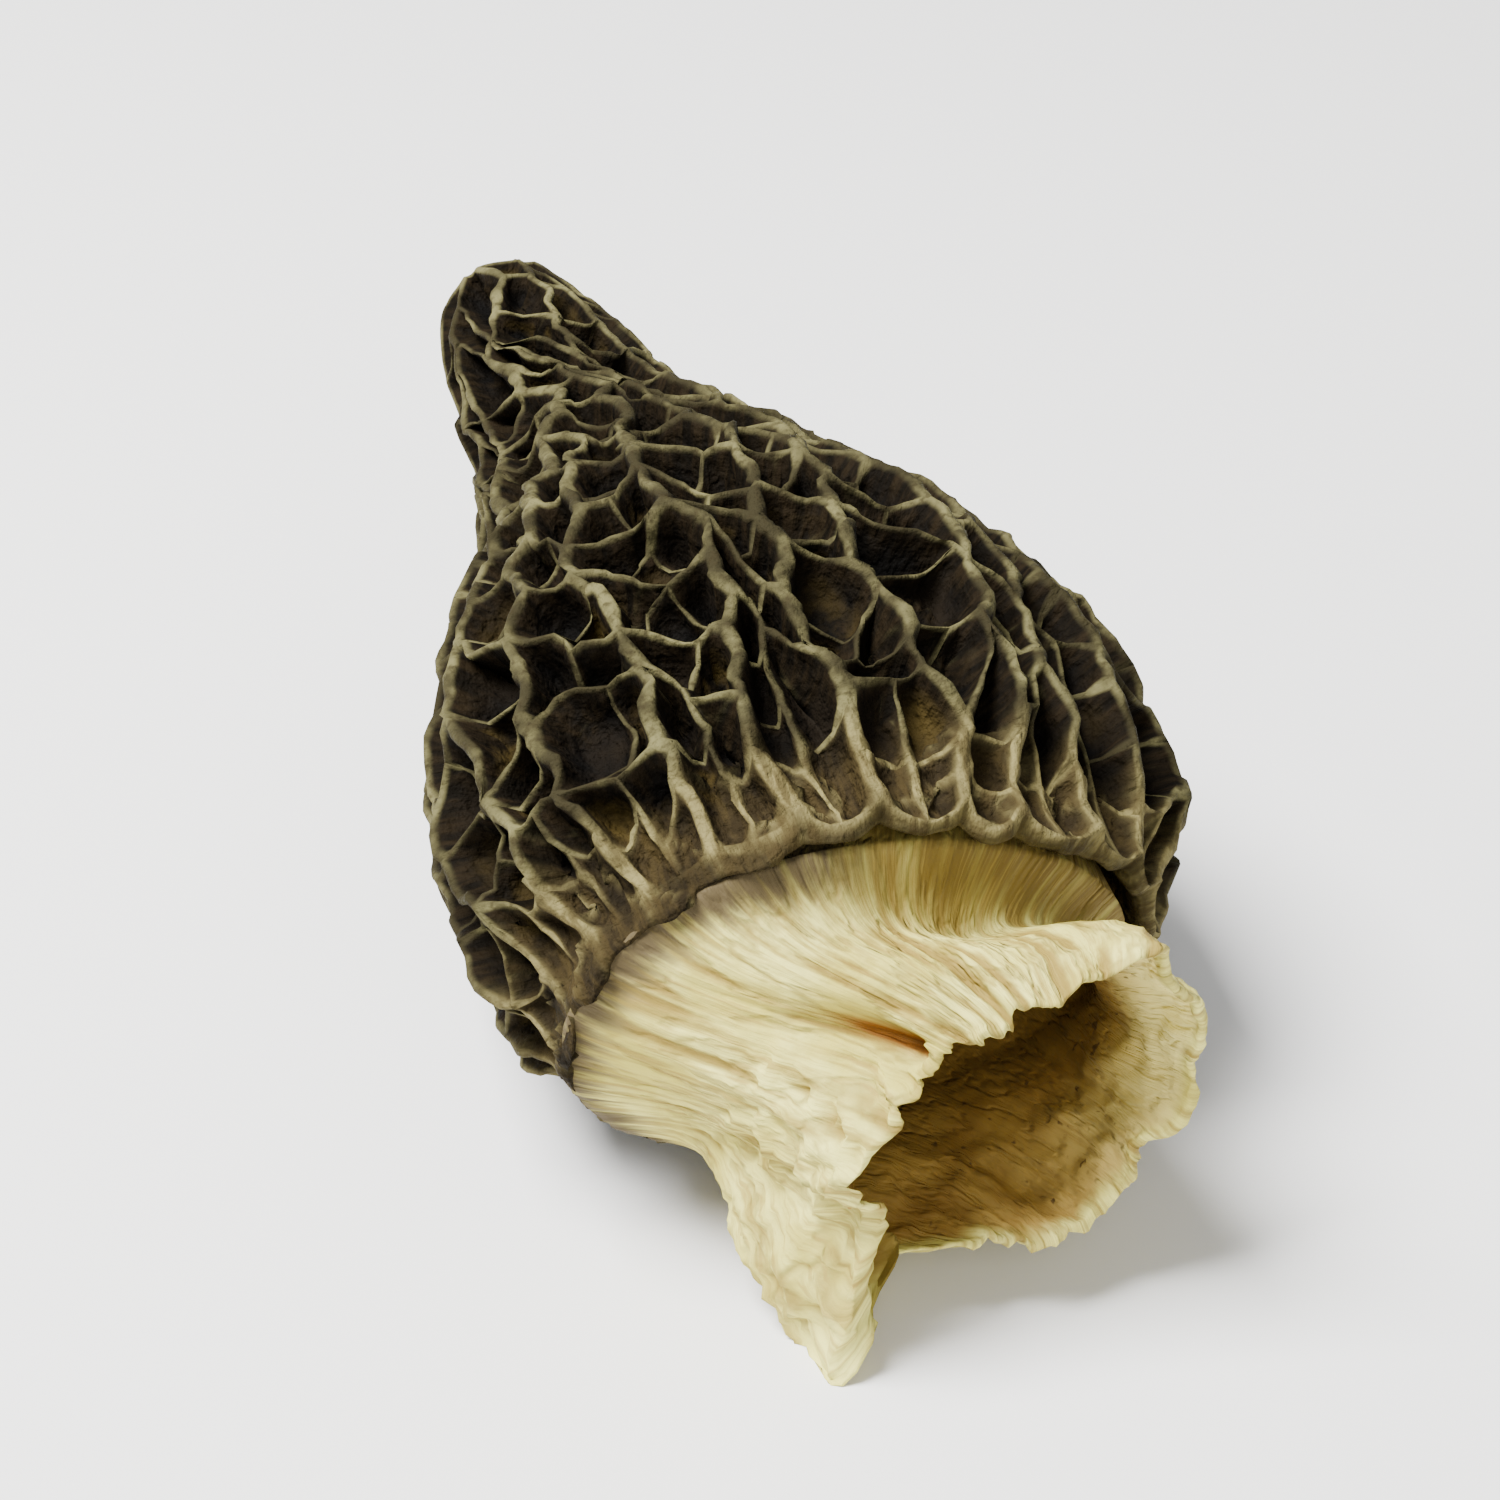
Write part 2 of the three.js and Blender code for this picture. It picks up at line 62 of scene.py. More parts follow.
# %% Sizes in millimetres
CAP_LENGTH = 55
CAP_RADIUS = 15  # of the flesh at its widest, without the ribs
NOSE_SHARE = 0.28  # how much of that the narrow end keeps
WALL = 1.1
RIB_HEIGHT = 3.0
FIT_GAP = 0.4
LEAN = math.radians(10)  # how far the axis rises towards the tip
EDGE_MIDDLE = np.array([-1.2009, -20.5604, 10.9])  # middle of the cap's lower edge, once it is laid down
TURN = 2 * math.pi
UP, DOWN = TURN / 4, -TURN / 4
print("cap, mm:", CAP_LENGTH, "long,", 2 * CAP_RADIUS, "across its flesh")


def mix(a, b, share):
    return a + (b - a) * share


def ease(low, high, x):
    s = np.clip((x - low) / (high - low), 0, 1)
    return s * s * (3 - 2 * s)


def swell(angle, degrees, width):
    """1 in one direction round the axis, given in degrees, and from there down to 0 on both sides."""
    centre = math.radians(degrees)
    away = np.arctan2(np.sin(angle - centre), np.cos(angle - centre))
    return np.exp(-((away / width) ** 2))


# %% The flesh under the ribs
def flesh_radius(angle, along):
    t = np.maximum(along, 0)
    drawn_in = mix(1, NOSE_SHARE, ease(0.235, 0.765, t))
    closed = np.sqrt(1 - np.minimum(t, 0.99999) ** 8)
    lower_edge = 1 - 0.06 * np.exp(-t / 0.08)
    dents = 0.03 * np.cos(2 * angle + 0.5) + 0.028 * np.cos(3 * angle - 1 + 2.5 * along)
    dents = dents + 0.02 * np.sin(5 * angle + 5 * along)
    return CAP_RADIUS * drawn_in * closed * lower_edge * (1 + dents * ease(-0.2, 0.3, along))


def flatness(angle, along):
    below = mix(0.62, 1.08, ease(0.05, 0.5, along))
    above = mix(0.8, 0.95, ease(0.1, 0.8, along))
    return mix(above, below, ease(-0.4, 0.4, -np.sin(angle)))


def flesh_points(angle, along):
    radius = flesh_radius(angle, along)
    bend = 1.1 * np.sin(3.6 * along) - 0.7 * along * along - 1.7 * ease(0.42, 0.8, along)
    x = bend + radius * np.cos(angle)
    z = 1.5 * along * along + flatness(angle, along) * radius * np.sin(angle)
    return np.stack([x, CAP_LENGTH * along, z], axis=-1)


print("widest flesh, mm:", round(2 * float(flesh_radius(0, 0.15)), 1))


# %% Where a point of the cap lies
def cap_points(angle, along, height):
    """Places at a height above the flesh, square to it."""
    angle, along = np.asarray(angle, float), np.asarray(along, float)
    step = 1e-3
    around = flesh_points(angle + step, along) - flesh_points(angle - step, along)
    lengthwise = flesh_points(angle, np.minimum(along + step, 0.9999)) - flesh_points(angle, along - step)
    outwards = np.cross(lengthwise, around)
    outwards /= np.linalg.norm(outwards, axis=-1, keepdims=True)
    return flesh_points(angle, along) + outwards * np.asarray(height, float)[..., None]


def settled(z):
    """Presses what would reach below the floor nearly flat on it. The height z is in millimetres."""
    return np.where(z > 0.25, z, 0.25 * np.exp(np.minimum(z / 0.25, 1) - 1))


def laid_down(points):
    """Tips the shape up by its lean, lays it on the floor, and gives metres."""
    x, y, z = points[..., 0], points[..., 1], points[..., 2]
    c, s = math.cos(LEAN), math.sin(LEAN)
    placed = np.stack([x, y * c - z * s, y * s + z * c], axis=-1) + EDGE_MIDDLE
    placed[..., 2] = settled(placed[..., 2])
    return placed * MM


print("middle of the lower edge, mm:", EDGE_MIDDLE)

# %% Ribs' height
JOINED_SIDE = 175  # degrees round the axis, from the right over the top


def shoulder(angle):
    """1 on the side where the flesh of the cap runs on into the stem, 0 where the edge stands free."""
    return ease(0.1, 0.75, swell(angle, JOINED_SIDE, 1.25))


def rib_height(angle, along):
    at_edge = mix(0.42, 0.2, shoulder(angle))
    at_tip = 1 - 0.5 * ease(0.55, 0.95, along)
    return RIB_HEIGHT * at_tip * mix(at_edge, 1, ease(0, 0.1, along))


print("ribs halfway up, mm:", round(float(rib_height(UP, 0.5)), 1))

# %% [markdown]
# ## The net
# On a morel the ribs start close together at the lower edge and run to the tip, and because the cap narrows,
# neighbours run together on the way. Rungs cross from rib to rib at uneven steps. Growing the net by these
# rules, with a seeded draw for its unevenness, gives one that looks grown, and the same one every time.

# %% Ribs
RIBS, LEVELS = 24, 26  # ribs at the lower edge, and steps along each
RIB_GAP, CLOSING_LEVELS = 3.2, 3  # a closer pair than this runs together, in so many steps


def dice(seed):
    """Uneven draws from 0 to 1 that come out the same every time."""
    state = seed
    while True:
        state = (state * 1664525 + 1013904223) % 4294967296
        yield state / 4294967296


drawn = dice(11)


def draw():
    return next(drawn)


def level_along(level):
    return 0.975 * (1 - (1 - level / LEVELS) ** 1.2)


def trace_ribs():
    """The ribs' angles at each level, and for each rib the one that it has run into."""
    angle = [DOWN + TURN * (rib + 0.4 * (draw() - 0.5)) / RIBS for rib in range(RIBS)]
    phase = [TURN * draw() for _ in range(RIBS)]
    pace = [mix(0.35, 0.7, draw()) for _ in range(RIBS)]
    owner, left = list(range(RIBS)), [0] * RIBS
    angles, owners = [list(angle)], [list(owner)]
    for level in range(1, LEVELS + 1):
        along = level_along(level)
        radius = float(flesh_radius(UP, along) + rib_height(UP, along))
        alive = [o for rib, o in enumerate(owner) if o == rib]
        at, count = [angle[rib] for rib in alive], len(alive)
        if TURN * radius / count < RIB_GAP and level <= LEVELS - CLOSING_LEVELS:
            free = [m for m in range(1, count - 2) if not any(left[alive[n]] for n in (m - 1, m, m + 1))]
            if free:
                left[alive[min(free, key=lambda m: at[m + 1] - at[m])]] = CLOSING_LEVELS
        moved = []
        for m, here in enumerate(at):
            before = at[m - 1] if m else at[-1] - TURN
            after = at[m + 1] if m + 1 < count else at[0] + TURN
            wander = 0.5 / radius * math.sin(phase[alive[m]] + pace[alive[m]] * level)
            moved.append(here + 0.2 * ((before + after) / 2 - here) + wander)
        for m in range(count - 1):
            rib = alive[m]
            if left[rib]:
                gap = (at[m + 1] - at[m]) * (left[rib] - 1) / left[rib]
                middle = (moved[m] + moved[m + 1]) / 2
                moved[m], moved[m + 1] = middle - gap / 2, middle + gap / 2
                left[rib] -= 1
                if not left[rib]:
                    owner = [rib if o == alive[m + 1] else o for o in owner]
        placed = dict(zip(alive, moved))
        angle = [placed[o] for o in owner]
        angles.append(list(angle))
        owners.append(list(owner))
    return angles, owners


angles, owners = trace_ribs()
print("ribs at the lower edge and at the tip:", RIBS, len(set(owners[-1])))


# %% Rungs
FINGERED_SIDE = 40  # where the pits at the edge are long and narrow
PULL = 0.5  # the most that a rung draws a rib, in millimetres


def angle_at(level, rib):
    return angles[level][owners[level][rib]]


def outer_radius(level):
    return float(flesh_radius(UP, level_along(level)) + RIB_HEIGHT)


def width_between(c, level, far):
    """Millimetres round the cap from a rib at one level to the next rib at another."""
    after = (c + 1) % RIBS
    turn = 0 if after else TURN
    return (angle_at(far, after) + turn - angle_at(level, c)) * outer_radius(level)


def place_rungs():
    """The rungs between each rib and the next, from the lower edge up."""
    columns = []
    for c in range(RIBS):
        after = (c + 1) % RIBS
        turn = 0 if after else TURN
        end = 1
        while end < LEVELS and owners[end][c] != owners[end][after]:
            end += 1
        fingers = float(swell(angles[0][c], FINGERED_SIDE, 0.9))
        split = draw() < mix(0.5, 1, fingers)
        sag = mix(0.2, 1.1, draw()) * (1 - 0.8 * float(shoulder(angles[0][c])))
        rungs = [dict(level=0, far=0, sag=sag, drop=0.6, point=False)]
        level = math.floor(mix(1.2, 3.2, fingers) + 1.6 * draw())
        while level <= end - 2 and rungs[-1]["far"] <= end - 3:
            along = level_along(level)
            least = rungs[-1]["far"] + (2 if level - rungs[-1]["level"] < 2 else 1)
            far = min(max(level + math.floor(4 * draw() - 1.5), least), end - 2)
            width = width_between(c, level, level)
            wanted = min(5, width * mix(0.35, 1.05, draw()))
            sag = width * mix(-0.18, 0.2, draw())
            rungs.append(dict(level=level, far=far, sag=sag, drop=mix(0.03, 0.35, draw()), point=False))
            step = 1
            while level + step < end and (level_along(level + step) - along) * CAP_LENGTH < wanted:
                step += 1
            level = max(level + step, far - 1)
        rungs.append(dict(level=end, far=end, sag=0, drop=0.1, point=owners[end][c] == owners[end][after]))
        columns.append(dict(c=c, after=after, turn=turn, rungs=rungs, split=split))
    return columns


def pull_ribs():
    """A rung draws the ribs at its two ends a little towards each other."""
    for column in columns:
        for rung in column["rungs"][1:-1]:
            for level, rib, way in ((rung["level"], column["c"], 1), (rung["far"], column["after"], -1)):
                pull = min(PULL, 0.14 * width_between(column["c"], level, level))
                angles[level][owners[level][rib]] += way * pull / outer_radius(level)


columns = place_rungs()
pull_ribs()
print("rungs:", sum(len(column["rungs"]) for column in columns))

# %% [markdown]
# ## Fine lines of the net
# The solid model has one point for each step along a rib. Subdividing its mesh would only round it off, so
# here each step is cut into smaller ones on a smooth curve instead. The lines are then drawn tight, as a web
# under tension is, which bends each rib towards the rungs that hold it. At last they are crumpled a little,
# as they are when the flesh shrinks.

# %% Points of the net
SUBSTEPS = 4
RUNG_STEP = 0.6  # millimetres between the points of a rung
EDGE_HANG, HANGING_SIDE = 1.7, 55  # how much further forward the edge reaches there, in millimetres
names, spots = {}, []


def spot(name, angle, along, share, width):
    """Numbers a point of the net, with its place, its share of the rib's height and the rib's thickness."""
    if name not in names:
        names[name] = len(names)
        spots.append((angle, along, share, width))
    return names[name]


def curve_between(a, b, c, d, s):
    """A smooth curve from b to c that heads on to the values before and after them."""
    return b + 0.5 * s * (c - a + s * (2 * a - 5 * b + 4 * c - d + s * (3 * (b - c) + d - a)))


def rib_angle(rib, step):
    level, rest = int(step // SUBSTEPS), step % SUBSTEPS
    own = owners[level][rib]
    if not rest:
        return angles[level][own]
    a, b, c, d = (angles[min(max(level + n, 0), LEVELS)][own] for n in (-1, 0, 1, 2))
    return curve_between(a, b, c, d, rest / SUBSTEPS)


def set_place(angle, along):
    """The rungs wander lengthwise round the cap, so that they don't line up in rings."""
    wander = 0.016 * math.sin(3 * angle + 0.7) + 0.011 * math.sin(7 * angle + 2)
    hang = EDGE_HANG / CAP_LENGTH * float(swell(angle, HANGING_SIDE, 0.6) * (1 - ease(0, 0.15, along)))
    return angle, along - hang + wander * float(ease(0, 0.15, along) * (1 - ease(0.8, 0.97, along)))


print("points along a rib:", LEVELS * SUBSTEPS + 1)


# %% Points on ribs and rungs
def on_rib(rib, step):
    own = owners[step // SUBSTEPS][rib]
    angle, along = set_place(rib_angle(rib, step), level_along(step / SUBSTEPS))
    return spot(("rib", own, step), angle, along, 1, mix(1.75, 1.2, float(ease(0.5, 0.9, along))))


def on_rung(column, rung, part):
    low = rib_angle(column["c"], rung["level"] * SUBSTEPS)
    high = rib_angle(column["after"], rung["far"] * SUBSTEPS) + column["turn"]
    share = part / rung["parts"]
    arch = math.sin(math.pi * share)
    along = mix(level_along(rung["level"]), level_along(rung["far"]), share) - rung["sag"] * arch / CAP_LENGTH
    angle, along = set_place(mix(low, high, share), along)
    low = rung["drop"] * arch if rung["level"] else mix(0.6, 0.9, float(shoulder(angle))) * math.sqrt(arch)
    name = ("rung", column["c"], rung["level"], part)
    return spot(name, angle, along, 1 - low, mix(1.3, 0.6, min(1, 2 * arch)))


def rib_spots(rib, first, last, way=1):
    return [on_rib(rib, step) for step in range(first * SUBSTEPS, last * SUBSTEPS, way)]


def rung_spots(column, rung, first, last):
    return [] if rung["point"] else [on_rung(column, rung, part) for part in range(first, last)]


def short_rib_spots(column, top):
    """The short rib that splits a column's first pit in two, from the lower edge up."""
    start = -column["rungs"][0]["sag"] / CAP_LENGTH
    end = (level_along(top["level"]) + level_along(top["far"])) / 2 - top["sag"] / CAP_LENGTH
    count = round((top["level"] + top["far"]) / 2 * SUBSTEPS)
    found = []
    for step in range(1, count):
        share = step / count
        low = rib_angle(column["c"], share * top["level"] * SUBSTEPS)
        high = rib_angle(column["after"], share * top["far"] * SUBSTEPS) + column["turn"]
        angle, along = set_place((low + high) / 2, mix(start, end, share))
        height = 1 - mix(column["rungs"][0]["drop"], top["drop"], share) - 0.2 * math.sin(math.pi * share)
        found.append(spot(("short", column["c"], step), angle, along, height, 0.85))
    return found


for column in columns:
    for rung in column["rungs"]:
        width = width_between(column["c"], rung["level"], rung["far"])
        length = math.hypot(width, (level_along(rung["far"]) - level_along(rung["level"])) * CAP_LENGTH)
        rung["parts"] = max(4, 2 * round(length / RUNG_STEP / 2))
print("steps of the longest rung:", max(rung["parts"] for column in columns for rung in column["rungs"]))

# %% Loops round the pits
loops = []
for column in columns:
    c, after = column["c"], column["after"]
    for i, (low, high) in enumerate(zip(column["rungs"], column["rungs"][1:])):
        left_side = rib_spots(c, low["level"], high["level"])
        painted_light_right_side = rib_spots(after, high["far"], low["far"], -1)
        corner = [] if high["point"] else [on_rib(c, high["level"] * SUBSTEPS)]
        foot = on_rib(after, low["far"] * SUBSTEPS)
        top, bottom = high["parts"], low["parts"]
        if i or not column["split"]:
            loop = left_side + corner + rung_spots(column, high, 1, top) + painted_light_right_side + [foot]
            loops.append(loop + rung_spots(column, low, 1, bottom)[::-1])
            continue
        short = short_rib_spots(column, high)
        loop = left_side + corner + rung_spots(column, high, 1, top // 2 + 1) + short[::-1]
        loops.append(loop + rung_spots(column, low, 1, bottom // 2 + 1)[::-1])
        loop = short + rung_spots(column, high, top // 2, top) + painted_light_right_side + [foot]
        loops.append(loop + rung_spots(column, low, bottom // 2, bottom)[::-1])
print("pits of the solid model:", len(loops))


# %% Minor ribs
MINOR_AREA = 9.6  # square millimetres, from which on a pit has a lower rib across it


def unwound(angle):
    """The angles of a loop with no full turn between them."""
    return angle - TURN * np.round((angle - angle[0]) / TURN)


def crossing_points(loop, flat, across, scale, bow, low):
    """Points of a bowed lower rib across a loop, with the loop's two points that it joins."""
    sideways = np.array([-across[1], across[0]])
    side = (flat - flat.mean(axis=0)) @ sideways
    ahead = (flat - flat.mean(axis=0)) @ across
    too_far = 99
    i = int(np.argmin(np.abs(side) + too_far * (ahead < 0)))
    j = int(np.argmin(np.abs(side) + too_far * (ahead > 0)))
    i, j = min(i, j), max(i, j)
    length = float(np.linalg.norm(flat[j] - flat[i]))
    count = max(3, round(length / RUNG_STEP))
    path = []
    for part in range(1, count):
        arch = math.sin(math.pi * part / count)
        at = mix(flat[i], flat[j], part / count) + bow * arch * length * sideways
        share = mix(spots[loop[i]][2], spots[loop[j]][2], part / count) - low * min(1, 1.5 * arch)
        path.append(spot(("minor", len(names)), at[0] / scale[0], at[1] / scale[1], share, 0.55))
    return i, j, path


def halves(loop, most):
    """The loop itself, or, where it is wider than most, the two that a lower rib across it makes of it."""
    angle, along = np.array([spots[i][:2] for i in loop]).T
    angle = unwound(angle)
    scale = np.array([float(flesh_radius(UP, along.mean())) + RIB_HEIGHT, CAP_LENGTH])
    flat = np.stack([angle, along], axis=-1) * scale
    x, y = flat.T
    area = abs(np.dot(x, np.roll(y, 1)) - np.dot(y, np.roll(x, 1))) / 2
    slant, bow, low = draw(), mix(-0.25, 0.25, draw()), mix(0.3, 0.6, draw())
    if area < most or along.max() > 0.8:
        return [loop]
    long_way = np.linalg.eigh(np.cov((flat - flat.mean(axis=0)).T))[1][:, 1]
    short_way = np.array([-long_way[1], long_way[0]])
    turned = mix(-0.6, 0.6, slant)
    across = math.cos(turned) * short_way - math.sin(turned) * long_way
    i, j, path = crossing_points(loop, flat, across, scale, bow, low)
    return [loop[: i + 1] + path + loop[j:], loop[i : j + 1] + path[::-1]]


for most in (MINOR_AREA, 1.4 * MINOR_AREA):
    loops = [half for loop in loops for half in halves(loop, most)]
spot_angle, spot_along, spot_share, spot_width = np.array(spots).T
print("pits:", len(loops), "points on the crests:", len(names))

# %% Drawn tight
edges = {tuple(sorted(pair)) for loop in loops for pair in zip(loop, loop[1:] + loop[:1])}
one, other = np.array(sorted(edges)).T
ties = np.bincount(np.concatenate([one, other]))
movable = ease(0, 0.05, spot_along) * (1 - ease(0.88, 0.96, spot_along))
for _ in range(6):
    turned = (spot_angle[other] - spot_angle[one] + math.pi) % TURN - math.pi
    risen = spot_along[other] - spot_along[one]
    drawn_round = np.bincount(one, turned, len(ties)) - np.bincount(other, turned, len(ties))
    drawn_up = np.bincount(one, risen, len(ties)) - np.bincount(other, risen, len(ties))
    spot_angle = spot_angle + 0.5 * movable * drawn_round / ties
    spot_along = spot_along + 0.5 * movable * drawn_up / ties
print("ties between the points:", len(edges))


# %% Crumpled
def wobble(places, size, seed):
    """Smooth noise at places in millimetres, its lumps size across, from about -1 to 1."""
    return 1.7 * np.array([noise.noise(Vector(place)) for place in places / size + seed])


radius = flesh_radius(spot_angle, spot_along) + 2
here = cap_points(spot_angle, spot_along, 0 * radius)
calm = mix(0.35, 1, ease(0, 0.05, spot_along)) * (1 - 0.8 * ease(0.9, 0.97, spot_along))
push_side = (0.5 * wobble(here, 3.0, 1.0) + 0.3 * wobble(here, 1.2, 2.0)) * calm / radius
push_along = (0.45 * wobble(here, 3.0, 3.0) + 0.3 * wobble(here, 1.1, 4.0)) * calm / CAP_LENGTH
uneven = 1 + 0.13 * wobble(here, 4.5, 5.0) + 0.08 * wobble(here, 1.5, 6.0)
crest_height = rib_height(spot_angle, spot_along) * spot_share * uneven
rib_width = spot_width * (1 + 0.3 * wobble(here, 2.6, 7.0) + 0.2 * wobble(here, 0.9, 8.0))
# where the cap runs on into the stem only the ribs reach the edge as pale lines
at_join = shoulder(spot_angle) * ease(0.04, 0.0, spot_along)
crest_pale = 1 - 0.85 * at_join * (1 - ease(0.3, 0.95, spot_share))
print("crests, mm above the flesh:", round(crest_height.min(), 2), "to", round(crest_height.max(), 2))

# %% [markdown]
# ## The cap
# A wall this thin, round pits that all differ, can't be pulled out of a primitive with the edit tools, and a
# displaced egg would give soft dimples in place of thin upright walls. So the cap is built pit by pit. The
# loop along the crests is stepped inwards and down: over the rolled crest, down the wall, out along its foot
# and across the floor. Neighbouring pits share the points of the crest between them, so the cap is one
# closed skin.

# %% The section of a rib
# distance in from the crest's middle, share of the rib's height, how pale it is, share of the crumpling that
# is gone, and passes that round the loop off
SECTION = [
    (0.10, 0.99, 1.0, 0.0, 0),
    (0.19, 0.94, 0.8, 0.03, 0),
    (0.25, 0.84, 0.4, 0.1, 1),
    (0.30, 0.62, 0.2, 0.3, 2),
    (0.38, 0.36, 0.1, 0.5, 2),
    (0.56, 0.13, 0.05, 0.7, 3),
    (0.92, 0.01, 0.02, 0.9, 4),
    (1.40, -0.02, 0.0, 1.0, 5),
]
WALL_PLEATS = 0.2  # how much of its height counts where a pleat is placed, so that pleats run down the walls
points, flats, pale, tone, quads, triangles = [], [], [], [], [], []
print("rows down a pit's wall:", len(SECTION))


# %% Points and faces
def add_points(angle, along, height, paleness, pit_tone):
    """Adds a row of points and gives their numbers."""
    first = sum(len(p) for p in points)
    points.append(cap_points(angle, along, height))
    flats.append(cap_points(angle, along, WALL_PLEATS * np.asarray(height)))
    pale.append(np.full(len(points[-1]), paleness, float))
    tone.append(np.full(len(points[-1]), float(pit_tone)))
    return list(range(first, first + len(points[-1])))


def strip(a, b):
    for i in range(len(a)):
        j = (i + 1) % len(a)
        quads.append((a[i], a[j], b[j], b[i]))


def thinned_strip(a, b):
    """Joins a loop to one that has kept every second point of it."""
    for i in range(len(b)):
        j, start, end = (i + 1) % len(b), 2 * i, 2 * i + 2
        if end > len(a):
            quads.append((a[start], a[0], b[j], b[i]))
            continue
        triangles.append((a[start], a[start + 1], b[i]))
        quads.append((a[start + 1], a[end % len(a)], b[j], b[i]))


def fan(loop, tip):
    """Closes a loop with triangles to one point."""
    for i in range(len(loop)):
        triangles.append((loop[i], loop[(i + 1) % len(loop)], tip))


add_points(spot_angle + push_side, spot_along + push_along, crest_height, crest_pale, 0.5)
print("points on the crests:", len(points[0]))


# %% Stepping down into each pit
THINNED_FROM = 0.7  # millimetres in, from which on a pit's loops keep every second point
FLOOR_SHARE, FLOOR_DEPTH, MIDDLE_DEPTH = 0.45, -0.12, -0.14  # the floor's inner loop and its middle point


def rounded(flat, passes):
    for _ in range(passes):
        flat = 0.5 * flat + 0.25 * (np.roll(flat, 1, axis=0) + np.roll(flat, -1, axis=0))
    return flat


def add_pit(loop, pit_tone):
    """Adds the rows of one pit, from its crests down, and closes its floor."""
    angle, along = unwound(spot_angle[loop]), spot_along[loop]
    mid_angle, mid_along = angle.mean(), along.mean()
    scale = np.array([float(flesh_radius(mid_angle, mid_along)) + 0.5 * RIB_HEIGHT, CAP_LENGTH])
    middle = np.array([mid_angle, mid_along])
    still = (np.stack([angle, along], axis=-1) - middle) * scale
    pushed = still + np.stack([push_side[loop], push_along[loop]], axis=-1) * scale
    # the pit's long axis, and the stretch of it that the walls close in on
    axes = np.linalg.eigh(np.cov(still.T))[1]
    long_way, short_way = axes[:, 1], axes[:, 0]
    half_length, half_width = np.abs(still @ long_way).max(), np.abs(still @ short_way).max()
    reach = max(0.0, half_length - half_width) * 0.85
    ring, kept = loop, slice(None)
    for inset, share, paleness, calmed, passes in SECTION:
        join = strip
        if inset > THINNED_FROM and kept.step is None:
            join, kept = thinned_strip, slice(None, None, 2)
        edge = mix(pushed, still, calmed)[kept]
        onto = np.clip(edge @ long_way, -reach, reach)[:, None] * long_way
        tangent = np.roll(edge, -2, axis=0) - np.roll(edge, 2, axis=0)
        inwards = onto - edge
        off = np.abs(tangent[:, 0] * inwards[:, 1] - tangent[:, 1] * inwards[:, 0])
        off = np.maximum(off / np.maximum(np.linalg.norm(tangent, axis=1), 1e-6), 0.3 * half_width)
        inset = inset * mix(1, rib_width[loop][kept], share)
        step = np.minimum(inset / off, 0.86 * np.minimum(1, inset + 0.25))
        flat = rounded(edge + inwards * step[:, None], passes)
        at = flat / scale + middle
        height = crest_height[loop][kept] * share - 0.1 * (share < 0.1)
        below = add_points(at[:, 0], at[:, 1], height, paleness * crest_pale[loop][kept], pit_tone)
        join(ring, below)
        ring = below
    at = rounded(flat * FLOOR_SHARE, 2) / scale + middle
    below = add_points(at[:, 0], at[:, 1], np.full(len(at), FLOOR_DEPTH), 0, pit_tone)
    strip(ring, below)
    fan(below, add_points([mid_angle], [mid_along], [MIDDLE_DEPTH], 0, pit_tone)[0])


for loop in loops:
    add_pit(loop, draw())
print("points:", sum(len(p) for p in points))

# %% The two ends of the net
tip_ring, edge_ring = [], []
for column in columns:
    first, last = column["rungs"][0], column["rungs"][-1]
    edge_ring += [on_rib(column["c"], 0)] + rung_spots(column, first, 1, first["parts"])
    if not last["point"]:
        tip_ring += [on_rib(column["c"], LEVELS * SUBSTEPS)] + rung_spots(column, last, 1, last["parts"])
print("points round the lower edge and round the tip:", len(edge_ring), len(tip_ring))

# %% The tip
# The ribs run together in a blunt end, where a few pale folds part the last small pits.
# share of the cap's length, share of the ribs' height between the folds, and how pale it is there
TIP = [
    (0.981, 0.8, 0.5),
    (0.986, 0.45, 0.12),
    (0.9905, 0.25, 0.05),
    (0.9945, 0.2, 0.03),
    (0.9975, 0.35, 0.1),
    (0.999, 0.6, 0.4),
]
FOLDS = 5
ring = tip_ring[::-1]
angle, tip_height = spot_angle[ring], crest_height[ring]
fold = ease(0.6, 1, 0.5 + 0.5 * np.cos(FOLDS * angle + 0.8 * np.sin(2 * angle) + 1))
for along, low, paleness in TIP:
    height = tip_height * mix(low, 0.9, fold)
    below = add_points(angle, np.full(len(ring), along), height, mix(paleness, 0.9, fold), 0.5)
    strip(ring, below)
    ring = below
fan(ring, add_points([UP], [0.9999], [0.8 * tip_height.mean()], 0.9, 0.5)[0])
print("ribs at the tip, mm above the flesh:", round(tip_height.mean(), 2))

# %% The lower edge
# The edge rolls under where it stands free. Elsewhere a thin apron of it runs on over the stem.
ring, edge_angle, edge_along = edge_ring, spot_angle[edge_ring], spot_along[edge_ring]
joined, edge_height = shoulder(edge_angle), crest_height[edge_ring]
reach = 0.3 * wobble(here[edge_ring], 2.3, 9.0) + 0.25 * wobble(here[edge_ring], 6.0, 19.0) - 0.25
reach = np.maximum(0.5, 1 + reach * joined)
